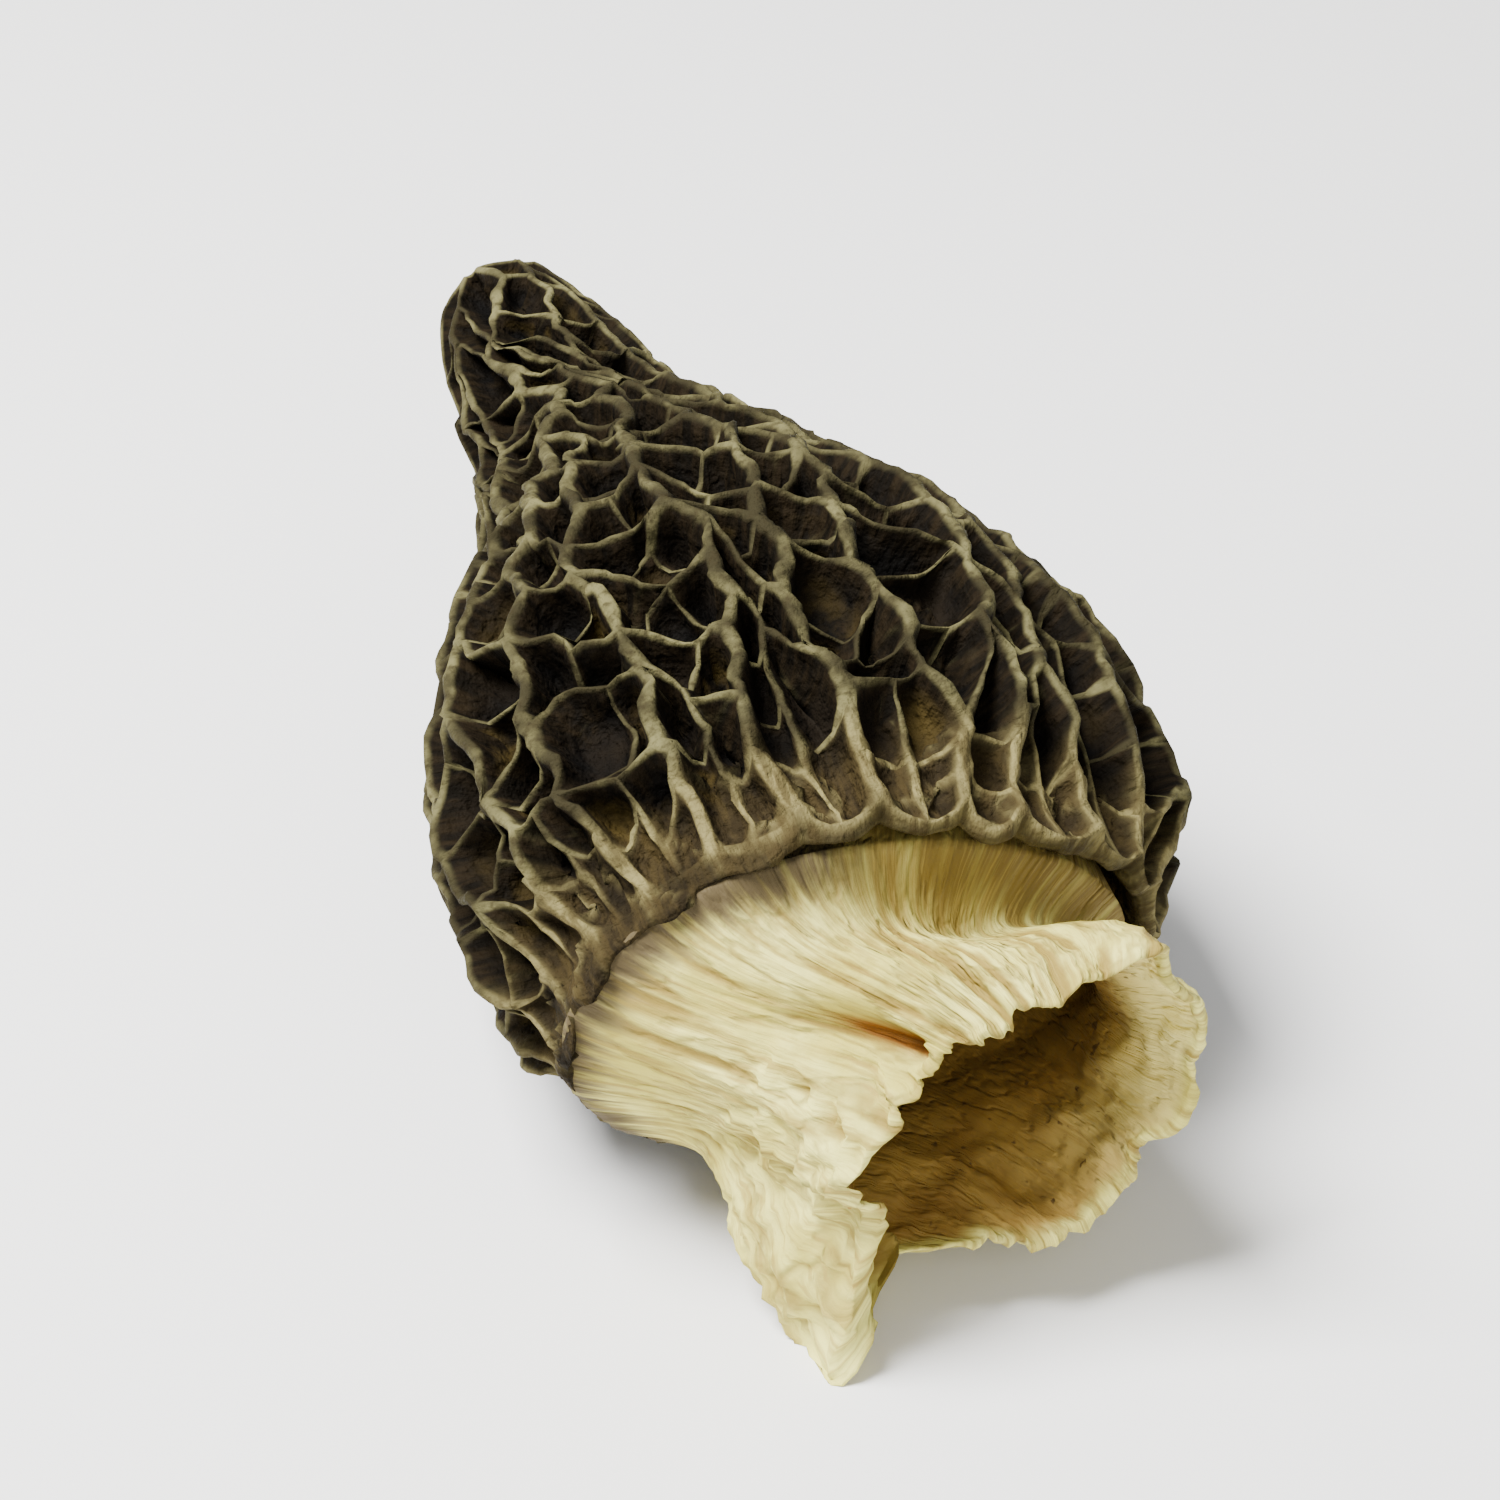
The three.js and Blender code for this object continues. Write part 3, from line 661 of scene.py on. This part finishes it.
# Each row gives millimetres forward and height where the edge is free, the same two where it is joined, and
# how pale it is. A height above 0 is a share of the ribs' height, and one below 0 is in millimetres.
UNDER_EDGE = [
    (0.13, 0.80, 0.35, 0.75, 0.75),
    (0.23, 0.42, 0.7, 0.50, 0.5),
    (0.28, 0.05, 1.1, 0.30, 0.35),
    (0.26, -0.16, 1.5, 0.18, 0.42),
    (0.14, -0.34, 1.9, 0.05, 0.34),
    (-0.30, -0.52, 2.4, -0.22, 0.3),
    (-1.20, -0.80, 1.4, -0.80, 0.2),
]
for free_forward, free_height, joined_forward, joined_height, paleness in UNDER_EDGE:
    at = edge_along - mix(free_forward, joined_forward * reach, joined) / CAP_LENGTH
    over_stem = 0.22 * ease(0.3, 2.0, joined_forward)
    free_height = edge_height * max(free_height, 0) + min(free_height, 0)
    joined_height = over_stem + edge_height * max(joined_height, 0) + min(joined_height, 0)
    height = mix(free_height, joined_height, joined)
    places = cap_points(edge_angle, at, 0 * at)
    lumps = 0.15 * wobble(places, 1.1, 12.0) + 0.09 * wobble(places, 0.5, 13.0)
    height = height + lumps * (paleness > 0.32)
    below = add_points(edge_angle, at, height, paleness * crest_pale[edge_ring], 0.6)
    strip(ring, below)
    ring = below
apron = max(row[2] for row in UNDER_EDGE) * reach * joined
print("apron reaches, mm over the stem:", round(float(apron.max()), 1))

# %% The chamber
ROWS, CHAMBER_END = 6, 0.945  # share of the cap's length where the chamber closes
for i in range(ROWS):
    at = np.full(len(edge_angle), mix(0.045, 0.93, (i / (ROWS - 1)) ** 0.9))
    below = add_points(edge_angle, at, np.full(len(at), -WALL), 0.15, 0.6)
    strip(ring, below)
    ring = below
to_axis = -flesh_radius(UP, CHAMBER_END)[None] * flatness(UP, CHAMBER_END)
fan(ring, add_points([UP], [CHAMBER_END], to_axis, 0.15, 0.6)[0])
print("points of the cap:", sum(len(p) for p in points))


# %% The cap's mesh
def mesh_object(name, placed, faces):
    data = bpy.data.meshes.new(name)
    data.from_pydata(placed.tolist(), [], faces)
    data.update()
    made = bpy.data.objects.new(name, data)
    bpy.context.collection.objects.link(made)
    return made


def carry(piece, carried):
    """Gives every point of a piece a number or a vector under each name."""
    for name, values in carried.items():
        kind, key = ("FLOAT", "value") if values.ndim == 1 else ("FLOAT_VECTOR", "vector")
        piece.data.attributes.new(name, kind, "POINT").data.foreach_set(key, values.ravel())


def enclosed(piece):
    """The volume inside a closed mesh in cubic millimetres, which is negative if it is inside out."""
    data = piece.data
    data.calc_loop_triangles()
    corners = np.array([data.vertices[v].co for t in data.loop_triangles for v in t.vertices])
    a, b, c = corners.reshape(-1, 3, 3).transpose(1, 0, 2)
    return float(np.einsum("ij,ij->", a, np.cross(b, c)) / 6 / MM**3)


body, flats, pale, tone = map(np.concatenate, (points, flats, pale, tone))
chamber = np.zeros(len(body))
chamber[-(ROWS * len(edge_ring) + 1) :] = 1
faces = [face for face in quads + triangles if len(set(face)) == len(face)]
cap = mesh_object("cap_flesh", laid_down(body), faces)
print("cap triangles:", 2 * len(quads) + len(triangles), "volume, cubic mm:", round(enclosed(cap)))

# %% Pleats and low ridges
# The pleats run down the walls, because their noise hardly changes with height.
outwards = np.empty(len(body) * 3)
cap.data.vertex_normals.foreach_get("vector", outwards)
pleats = wobble(flats, 1.5, 9.0)
ridges = np.maximum(0, 1 - 5 * np.abs(wobble(flats * [1, 0.7, 1], 2.6, 10.0)))
raised = mix(0.16, 0.03, pale) * pleats + 0.5 * ridges * (1 - ease(0, 0.3, pale)) * (1 - chamber)
placed = laid_down(body) + outwards.reshape(-1, 3) * raised[:, None] * MM
placed[:, 2] = settled(placed[:, 2] / MM) * MM
cap.data.vertices.foreach_set("co", placed.ravel())
cap.data.update()
carried = {
    "pale": np.maximum(pale, 0.62 * ridges * (1 - chamber)),
    "tone": tone,
    "near_edge": 1 - ease(0, 0.15, body[:, 1] / CAP_LENGTH),
    "chamber": chamber,
    "grain": flats,
    "strand": flats * [1, 0.15, 1],
}
carry(cap, carried)
cap.data.shade_smooth()
print("pleats and ridges move the skin by up to", round(np.abs(raised).max(), 2), "mm")

# %% [markdown]
# ## The cap's flesh
# Dried morel flesh is matt. The walls of the pits are the darkest part, the floors of some pits keep an olive
# tan, and the crests have rubbed pale. Walls and floors are painted near black: dark brown flesh with painted
# shade for the depth of the pits. It could be painted on a map, but for that some hundreds of pits would
# have to be unwrapped. So the mesh carries those places as attributes of its own points. The finish is built
# as coats, one over another, and noise at the size of the real wrinkles breaks each of them up.

# %% Colours and nodes
def colour(hex_code):
    """An sRGB hex colour as Blender's linear one."""
    parts = [int(hex_code[i : i + 2], 16) / 255 for i in (1, 3, 5)]
    return [p / 12.92 if p <= 0.04045 else ((p + 0.055) / 1.055) ** 2.4 for p in parts] + [1]


def new_material(name):
    material = bpy.data.materials.new(name)
    material.use_nodes = True
    return material, material.node_tree.nodes["Principled BSDF"]


def add_node(material, kind, inputs=(), output=0, **settings):
    """Adds a node and gives one output. An input is a value, a hex colour or another node's output."""
    node = material.node_tree.nodes.new(kind)
    for key, value in settings.items():
        setattr(node, key, value)
    for key, value in dict(inputs).items():
        if isinstance(value, bpy.types.NodeSocket):
            material.node_tree.links.new(value, node.inputs[key])
        else:
            node.inputs[key].default_value = colour(value) if isinstance(value, str) else value
    return node.outputs[output]


print("a crest's linear colour:", [round(part, 3) for part in colour("#666140")])


# %% Patterns and coats
def unevenness(material, *rows):
    """Noise for each row: millimetres across its patches, its detail, and the grain it follows, if any."""
    made = []
    for size, detail, *grain in rows:
        if grain:
            place = add_node(material, "ShaderNodeAttribute", output="Vector", attribute_name=grain[0])
        else:
            place, size = add_node(material, "ShaderNodeTexCoord", output="Object"), size * MM
        inputs = {"Vector": place, "Scale": 1 / size, "Detail": detail, "Roughness": 0.55}
        made.append(add_node(material, "ShaderNodeTexNoise", inputs))
    return made


def cover(material, *factors):
    """How far a coat covers, from 0 to 1, as the product of its factors.

    A factor is a pattern or a number as it is, or a pattern with the two values between which it comes in and
    the cover that it gives at each.
    """
    share = None
    for factor in factors:
        if isinstance(factor, tuple):
            whole = factor if len(factor) == 5 else (*factor, 0, 1)
            inputs = dict(zip(("Value", "From Min", "From Max", "To Min", "To Max"), whole))
            factor = add_node(material, "ShaderNodeMapRange", inputs, interpolation_type="SMOOTHSTEP")
        if share is not None:
            inputs = {0: share, 1: factor}
            factor = add_node(material, "ShaderNodeMath", inputs, operation="MULTIPLY", use_clamp=True)
        share = factor
    return share


def coated(material, ground, *coats):
    """Lays coats over the ground. Each is a colour with the factors of its cover."""
    for coat, *factors in coats:
        # inputs 6 and 7 and output 2 of a Mix node are its colours
        inputs = {"Factor": cover(material, *factors), 6: ground, 7: coat}
        ground = add_node(material, "ShaderNodeMix", inputs, 2, data_type="RGBA")
    return ground


def finish_skin(material, shader, flesh, *creases):
    """Gives the shader its colour and its creases: for each a pattern, its depth in mm and its strength."""
    normal = {}
    for pattern, depth, strength in creases:
        inputs = {"Height": pattern, "Distance": depth * MM, "Strength": strength, **normal}
        normal = {"Normal": add_node(material, "ShaderNodeBump", inputs)}
    material.node_tree.links.new(flesh, shader.inputs["Base Color"])
    material.node_tree.links.new(normal["Normal"], shader.inputs["Normal"])
    print(material.name, "has", len(material.node_tree.nodes), "nodes")


# %% Dried dark flesh
# near-black brown pits and brown walls, dark flesh with painted shade; olive-grey crests; matt, with hardly
# any gloss
dark_flesh, shader = new_material("dried_dark_mushroom_flesh")
paleness, pit_tone, near_edge, in_chamber = (
    add_node(dark_flesh, "ShaderNodeAttribute", output="Fac", attribute_name=name)
    for name in ("pale", "tone", "near_edge", "chamber")
)
patches, grains, crumples, lines = unevenness(dark_flesh, (3.4, 4), (0.55, 3), (1.0, 4), (1.3, 3))
pleats, strands = unevenness(dark_flesh, (0.5, 3, "grain"), (0.5, 4, "strand"))
# folded back on itself, a pattern's middle value becomes a net of thin lines
veins = add_node(dark_flesh, "ShaderNodeMath", {0: lines, 1: 0.5}, operation="PINGPONG", use_clamp=True)
# painted shade: the pits' floors are near black, dark flesh darkened further for the shade down in the pits
shaded_pit_floor = coated(
    dark_flesh,
    "#050403",
    ("#140f08", (patches, 0.38, 0.66)),
    ("#3c3115", (pit_tone, 0.62, 0.95), (patches, 0.42, 0.62)),
)
# painted shade: the pits' walls are near black, dark brown flesh with the shade of the pits painted in
wall = coated(dark_flesh, "#090602", ("#1c150a", (pleats, 0.35, 0.7)))
crest = coated(
    dark_flesh,
    "#2b2718",
    ("#666140", (patches, 0.4, 0.7)),
    ("#2a2415", (grains, 0.48, 0.72, 0, 0.7)),
)
edge = coated(
    dark_flesh,
    "#241d10",
    ("#7a7048", (paleness, 0.05, 0.9)),
    ("#3f3520", (grains, 0.45, 0.75, 0, 0.5)),
    ("#3a301a", (strands, 0.42, 0.62, 0, 0.75)),
)
edge_cover = cover(dark_flesh, (near_edge, 0.45, 1), (patches, 0.3, 0.6, 0.35, 1))
flesh = coated(
    dark_flesh,
    shaded_pit_floor,
    (wall, (paleness, 0.02, 0.3)),
    (crest, (paleness, 0.45, 0.95)),
    (edge, edge_cover),
    (coated(dark_flesh, "#5a4824", ("#8a7340", patches)), in_chamber),
)
finish_skin(
    dark_flesh,
    shader,
    flesh,
    (crumples, 0.45, 0.7),
    (pleats, 0.25, 0.9),
    (strands, 0.2, cover(dark_flesh, edge_cover, 0.9)),
    (grains, 0.08, 0.6),
    (cover(dark_flesh, (veins, 0.36, 0.5), (paleness, 0.5, 0.1)), 0.2, 0.45),
)
shader.inputs["Roughness"].default_value = 0.8
shader.inputs["Specular IOR Level"].default_value = 0.06
cap.data.materials.append(dark_flesh)
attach(cap, "root")
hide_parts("cap")

# %% [markdown]
# ## The stem
# The stem is a thin torn tube: wide at the neck, drawn in towards the mouth, pinched at one corner, and
# ending in a ragged lip with one long point that reaches the floor. A ring, or torus, already has the surface
# of a tube with a wall: once round is once round the stem, and once over is along the outside, over the lip
# and back along the inside. So the stem starts as a torus with enough points, and each is moved to its place.

# %% The stem's form
MOUTH = np.array([4.4, 3.2])  # middle of the mouth
SPUR = 232  # degrees round the mouth, where the lip has its long torn point
SPUR_INSIDE = 8.4  # how far from its middle the hollow reaches at the spur, whose outer end is solid
STEM_INSIDE = 4  # how far the stem reaches up into the cap
WAIST, SIDE_WAIST, TOP_WAIST = 0.5, 2.2, 3.0  # how far the stem is drawn in all round, at the side and on top
# angle round the mouth in degrees, distance from its middle, and how far forward the lip reaches
LIP = [
    (-125.5, 10.3, 12.2),
    (-121, 9.0, 12.5),
    (-112, 8.3, 12.9),
    (-98, 7.6, 13.1),
    (-75, 8.1, 13.4),
    (-54, 7.2, 13.0),
    (-32, 6.8, 12.8),
    (-9, 7.9, 12.0),
    (15, 7.9, 11.2),
    (37, 8.3, 10.6),
    (50, 8.8, 10.2),
    (62, 6.7, 10.4),
    (95, 4.7, 10.6),
    (127, 4.6, 10.6),
    (145, 4.9, 10.4),
    (153, 5.3, 10.4),
    (162, 6.0, 11.0),
    (170, 7.0, 11.7),
    (178, 8.0, 12.5),
    (185, 8.6, 13.0),
    (192, 9.1, 13.4),
    (199, 8.7, 13.7),
    (206, 8.5, 13.9),
    (213, 9.3, 13.8),
    (223, 13.2, 13.8),
    (229, 15.1, 13.7),
    (232, 15.2, 13.4),
]


def lip_at(angle):
    """How far out and how far forward the lip is, on a smooth closed curve through its points."""
    at = np.array([degree for degree, _, _ in LIP], float) - LIP[0][0]
    turned = (np.degrees(angle) - LIP[0][0]) % 360
    i = np.searchsorted(at, turned, side="right") - 1
    end = np.append(at, 360)[i + 1]
    s = (turned - at[i]) / (end - at[i])
    curves = []
    for k in (1, 2):
        value = np.array([entry[k] for entry in LIP])
        a, b, c, d = (value[(i + n) % len(LIP)] for n in (-1, 0, 1, 2))
        curves.append(curve_between(a, b, c, d, s))
    return curves


print("the lip reaches forward, mm:", min(entry[2] for entry in LIP), "to", max(entry[2] for entry in LIP))


# %% Places on the stem
def stem_points(angle, share, depth, beyond):
    """Places on the stem, depth millimetres under its outside and beyond millimetres past its lip."""
    out, forward = lip_at(angle)
    y = mix(-forward, STEM_INSIDE, share) - beyond
    to_neck = np.clip(1 + y / forward, 0, 1)
    # in front of the cap's edge it swells up to the cap's skin, so that the one runs on into the other
    run_on = 1.65 * shoulder(angle) * ease(-0.5, -1.4, y)
    neck = cap_points(angle, np.full(len(angle), 0.01), run_on - WALL - FIT_GAP - depth)
    to_hollow = mix(out - depth, SPUR_INSIDE, ease(0.1, 0.9, depth))
    out = np.where(depth > 0, np.minimum(out - depth, to_hollow), out)
    # its outline goes over from the lip's to the neck's, soonest at the spur's long point
    widened = np.minimum(1, to_neck / 0.87)
    evenly = 0.6 * widened + 0.4 * ease(0, 1, widened)
    spread = mix(evenly, 1 - (1 - widened) ** 3, swell(angle, SPUR, 0.35))
    waist = (WAIST + SIDE_WAIST * swell(angle, 208, 0.6)) * np.sin(math.pi * widened**1.8)
    waist = waist + TOP_WAIST * swell(angle, 65, 0.95) * np.sin(math.pi * widened**2.7)
    x = mix(MOUTH[0] + out * np.cos(angle), neck[:, 0], spread) - waist * np.cos(angle)
    z = mix(MOUTH[1] + out * np.sin(angle), neck[:, 2], spread) - waist * np.sin(angle)
    return np.stack([x, y, z], axis=-1), to_neck


neck_place = stem_points(np.array([UP]), np.array([1.0]), 0, 0)[0]
print("top of the neck, mm above the axis:", round(float(neck_place[0, 2]), 1))

# %% A torus for the stem
ROUND, OVER = 256, 120  # points round the stem, and along its outside, over the lip and back
bpy.ops.object.select_all(action="DESELECT")
bpy.ops.mesh.primitive_torus_add(
    major_segments=ROUND,
    minor_segments=OVER,
    major_radius=9 * MM,
    minor_radius=0.5 * MM,
)
stem = bpy.context.object
stem.name = stem.data.name = "stem_flesh"
print("torus points:", len(stem.data.vertices))

# %% Where each of its points goes
OUTSIDE, RIM = 56, 9
INSIDE = OVER - OUTSIDE - RIM
over_rim = math.pi * (np.arange(RIM) + 0.5) / RIM
down_outside = 1 - (np.arange(OUTSIDE) / OUTSIDE) ** 0.9
up_inside = (np.arange(INSIDE) / (INSIDE - 1)) ** 1.1
share = np.concatenate([down_outside, np.zeros(RIM), up_inside])
depth = np.concatenate([np.zeros(OUTSIDE), 0.5 - 0.5 * np.cos(over_rim), np.ones(INSIDE)])
bulge = np.concatenate([np.zeros(OUTSIDE), np.sin(over_rim), np.zeros(INSIDE)])
# the points stand closer at the spur and at the pinched corner
PINCH = 153  # degrees round the mouth
fine_angle = np.linspace(0, TURN, 4001)
crowd = 1 + 5 * swell(fine_angle, SPUR, 0.12) + 1.5 * swell(fine_angle, PINCH + 3, 0.2)
passed = np.concatenate([[0], np.cumsum((crowd[1:] + crowd[:-1]) / 2)])
round_angle = np.interp(np.arange(ROUND) / ROUND * passed[-1], passed, fine_angle)
around = np.repeat(round_angle, OVER)
share, depth, bulge = (np.tile(rows, ROUND) for rows in (share, depth, bulge))
print("places for them:", len(around))


# %% Fibres along the stem
TWIST = 0.03  # how far the fibres wind for each millimetre, in radians


def grain_at(angle, y):
    """Where a point lies in the fibres, which wind round the stem on their way down it."""
    turned = angle + TWIST * y
    return np.stack([10.5 * np.cos(turned), y, 10.5 * np.sin(turned)], axis=-1)


lip_out, lip_forward = lip_at(around)
grain = grain_at(around, mix(-lip_forward, STEM_INSIDE, share))
fibres = 1 - 2 * np.abs(wobble(grain / [1, 6, 1], 1.0, 3.0))
fine = 1 - 2 * np.abs(wobble(grain / [1, 7, 1], 0.6, 9.0))
folds = wobble(grain / [1, 2, 1], 3.4, 5.0)
print("a fibre winds by", round(math.degrees(TWIST * lip_forward.max())), "degrees at most")

# %% The torn lip
at_lip = grain_at(around, 0 * around)
spur = swell(around, SPUR - 2, 0.2)
torn = np.maximum(swell(around, 195, 0.75), 0.35 * swell(around, -65, 0.6))
ragged = 0.5 * wobble(at_lip, 3.2, 11.0) + mix(0.14, 0.36, np.maximum(spur, torn)) * wobble(at_lip, 1.0, 17.0)
thickness = WALL * mix(0.45, 1, ease(0, 0.3, share))
solid = np.maximum(lip_out - WALL - SPUR_INSIDE, 0)
beyond = ragged * (1 - ease(0, 0.3, share)) + bulge * (0.25 + 0.4 * solid)
placed, to_neck = stem_points(around, share, depth * thickness, beyond)
middle = np.stack([mix(MOUTH[0], 0, to_neck), placed[:, 1], mix(MOUTH[1], 0, to_neck)], axis=-1)
outwards = placed - middle
outwards /= np.linalg.norm(outwards, axis=1, keepdims=True)
print("the lip is torn by up to", round(float(np.abs(ragged).max()), 1), "mm")

# %% Wrinkles and creases
crumpled = (1 - to_neck) ** 0.7
creased = 1 - 2 * np.abs(wobble(placed, 2.3, 21.0)) + 0.5 * (1 - 2 * np.abs(wobble(placed, 1.0, 23.0)))
creased = 0.5 * creased * (1 - ease(0.1, 0.6, share)) * mix(0.25, 1, np.maximum(spur, torn))
smooth = np.maximum(swell(around, -10, 1.1), 0.8 * swell(around, 60, 0.7))
push = 0.26 * fibres * mix(0.6, 1, crumpled) * (1 - 0.7 * smooth) + 0.12 * fine * (1 - 0.6 * smooth)
push = push + 0.5 * folds * crumpled + creased
push *= 1 - 0.8 * ease(-2.2, -1.0, placed[:, 1])  # it lies calm where the cap covers it
placed = placed + outwards * push[:, None]
# a deep crease runs back from the mouth's upper corner
PINCH_DEPTH, NOTCH_DEPTH = 1.9, 1.6
pinch = swell(around + 0.3 * share, PINCH, 0.1) * (1 - ease(0.14, 0.34, share)) * ease(0, 0.1, share)
placed = placed - outwards * (PINCH_DEPTH * pinch)[:, None]
# the notch beside the spur is folded in under it
placed[:, 0] -= NOTCH_DEPTH * swell(around, SPUR + 6, 0.1) * (1 - ease(0.05, 0.35, share))
stem.data.vertices.foreach_set("co", laid_down(placed).ravel())
stem.data.update()
if enclosed(stem) < 0:
    bpy.ops.object.mode_set(mode="EDIT")
    bpy.ops.mesh.select_all(action="SELECT")
    bpy.ops.mesh.flip_normals()
    bpy.ops.object.mode_set(mode="OBJECT")
print("stem volume, cubic mm:", round(enclosed(stem)))

# %% What the stem's points carry
carried = {
    # furrow is high where fibres and creases are pushed in; it paints them a deeper yellow, partly as painted
    # shade
    "furrow": np.clip(0.5 - 0.4 * fibres - 0.25 * fine - 0.6 * creased, 0, 1),
    "inside": ease(0.3, 1, depth) * ease(0.0, 0.06, share),
    "to_neck": to_neck,
    "free": 1 - shoulder(around),
    # painted light: a pale yellow on the right of the mouth's lining near the lip, where the lamp lights it
    "painted_light_right_side": swell(around, 15, 0.9) * (1 - ease(0.15, 0.6, to_neck)),
    "run_on": shoulder(around) * ease(-4.4, -1.7, placed[:, 1]),
    "covered": ease(0, 0.4, shoulder(around)) * ease(-3.4, -1.6, placed[:, 1]),
    "pinch": pinch,
    "grain": grain / [1, 9, 1],
    "wrinkle": grain / [1, 2.2, 1],
}
carry(stem, carried)
stem.data.shade_smooth()
print("the stem's points carry:", ", ".join(carried))

# %% [markdown]
# ## The stem's flesh
# The outside is cream, with fine furrows in a deeper yellow, partly the fibres' own colour and partly painted
# shade in the furrows, and it turns grey-tan where it runs into the cap. Under the cap's free edge it is
# painted brown, as the shade of the overhang. The inside is ochre going to brown, with small dark specks: the
# brown deeper in the hollow is painted shade, a pale yellow on the right of the mouth is painted light, and
# the pinched corner's crease holds an orange-brown that is partly painted shade. A wood-like wave texture
# would run too straight for the fibres, so they are noise that is stretched along a grain which the mesh
# carries, and that grain winds and crumples with the stem.

# %% Dried pale flesh
# cream outside and ochre inside; matt as paper, fibrous
pale_flesh, shader = new_material("dried_pale_mushroom_flesh")
inside, furrow, neck, free_side, run_on, covered, painted_light_right_side, pinch_shade = (
    add_node(pale_flesh, "ShaderNodeAttribute", output="Fac", attribute_name=name)
    for name in ("inside", "furrow", "to_neck", "free", "run_on", "covered", "painted_light_right_side", "pinch")
)
clouds, specks, crinkles = unevenness(pale_flesh, (4.5, 3), (0.8, 2), (0.9, 4))
threads, hairs, streaks = unevenness(pale_flesh, (0.42, 4, "grain"), (0.17, 3, "grain"), (0.45, 4, "grain"))
(lines,) = unevenness(pale_flesh, (2.0, 3, "wrinkle"))
wrinkles = add_node(pale_flesh, "ShaderNodeMath", {0: lines, 1: 0.5}, operation="PINGPONG", use_clamp=True)
outer = coated(
    pale_flesh,
    "#dfd97a",
    ("#c0b452", (clouds, 0.35, 0.7)),
    # furrows in a deeper yellow: partly the fibres' own colour, partly painted shade in the furrows
    ("#86702c", (furrow, 0.3, 0.85, 0, 0.95)),
    ("#927c34", (threads, 0.46, 0.68, 0, 0.75)),
    # painted shade: brown near the neck on the free side, in the valley under the cap's overhanging edge
    ("#6e5a24", (neck, 0.5, 0.85), free_side, (threads, 0.3, 0.6, 0.65, 1)),
    ("#7c6626", (wrinkles, 0.44, 0.5, 0, 0.45)),
    ("#a08a42", (hairs, 0.5, 0.7, 0, 0.6)),
    ("#80744a", (cover(pale_flesh, run_on, (streaks, 0.32, 0.68, 0.2, 0.95)), 0.15, 0.95)),
    ("#4e4228", (cover(pale_flesh, covered, (streaks, 0.3, 0.7, 0.6, 1)), 0.1, 0.85)),
)
lining = coated(
    pale_flesh,
    "#a88840",
    ("#7f5f24", (clouds, 0.35, 0.65)),
    # painted light: pale yellow on the right of the lining near the lip
    ("#fff192", painted_light_right_side),
    # painted shade: the lining turns browner deeper in the hollow, towards the neck
    ("#8a6a2a", (neck, 0.25, 0.85)),
    ("#86682f", (threads, 0.5, 0.75, 0, 0.45)),
    ("#4a3416", (specks, 0.66, 0.74, 0, 0.8)),
)
finish_skin(
    pale_flesh,
    shader,
    # the pinched corner's crease in orange-brown, partly painted shade in the fold
    coated(pale_flesh, outer, (lining, inside), ("#84480c", (pinch_shade, 0.2, 0.8, 0, 0.9))),
    (crinkles, 0.2, 0.6),
    (threads, 0.16, 0.9),
    (hairs, 0.08, 0.8),
    (cover(pale_flesh, (wrinkles, 0.44, 0.5, 1, 0)), 0.2, 0.55),
)
shader.inputs["Roughness"].default_value = 0.78
shader.inputs["Specular IOR Level"].default_value = 0.3
stem.data.materials.append(pale_flesh)
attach(stem, "root")
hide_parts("stem")

# %% [markdown]
# ## Floor, light and camera
# The morel lies on a plain pale floor in soft studio light: one broad lamp above it on the left, a weak one
# in front for the inside of the stem, and pale surroundings that fill the shadows. A sun lamp would be
# simpler, but its hard shadows would hide the pits. The camera looks down at the open stem, with the cap
# going away from it to the upper left.

# %% The floor
bpy.ops.object.select_all(action="DESELECT")
bpy.ops.mesh.primitive_plane_add(size=6)  # metres
floor = bpy.context.object
floor.name = "studio_floor"
paper, shader = new_material("matt_white_paper")
shader.inputs["Base Color"].default_value = colour("#f1f0ee")
shader.inputs["Roughness"].default_value = 0.9
floor.data.materials.append(paper)
print("floor laid:", floor.name)

# %% Light
world = bpy.data.worlds.new("pale_room")
world.use_nodes = True
world.node_tree.nodes["Background"].inputs["Color"].default_value = colour("#f4f6f8")
world.node_tree.nodes["Background"].inputs["Strength"].default_value = 0.45
bpy.context.scene.world = world


def softbox(name, place, aim, size, watts):
    bpy.ops.object.light_add(type="AREA", location=place)
    lamp = bpy.context.object
    lamp.name = name
    lamp.data.size = size
    lamp.data.energy = watts
    lamp.rotation_euler = (Vector(aim) - Vector(place)).to_track_quat("-Z", "Y").to_euler()


MIDDLE = (0, 0, 0.01)  # of the morel, in metres
softbox("key_softbox", place=(-0.2, 0.02, 0.42), aim=MIDDLE, size=0.24, watts=8.4)
softbox("front_fill", place=(-0.05, -0.5, 0.3), aim=MIDDLE, size=0.4, watts=1.4)

# %% The camera
AZIMUTH, ELEVATION = math.radians(-19.5), math.radians(36)
DISTANCE = 0.175  # metres from the cap's lower edge
camera = bpy.data.objects.new("camera", bpy.data.cameras.new("camera"))
bpy.context.collection.objects.link(camera)
level = math.cos(ELEVATION)
back = Vector((math.sin(AZIMUTH) * level, -math.cos(AZIMUTH) * level, math.sin(ELEVATION)))
stand = Vector(EDGE_MIDDLE * MM) + DISTANCE * back
aim = Vector((-0.0008, -0.0035, 0.0132))
camera.location = stand
camera.rotation_euler = (aim - stand).to_track_quat("-Z", "Y").to_euler()
camera.data.lens = 90  # millimetres
bpy.context.scene.camera = camera
print("camera stands", round((aim - stand).length / MM), "mm from the morel")
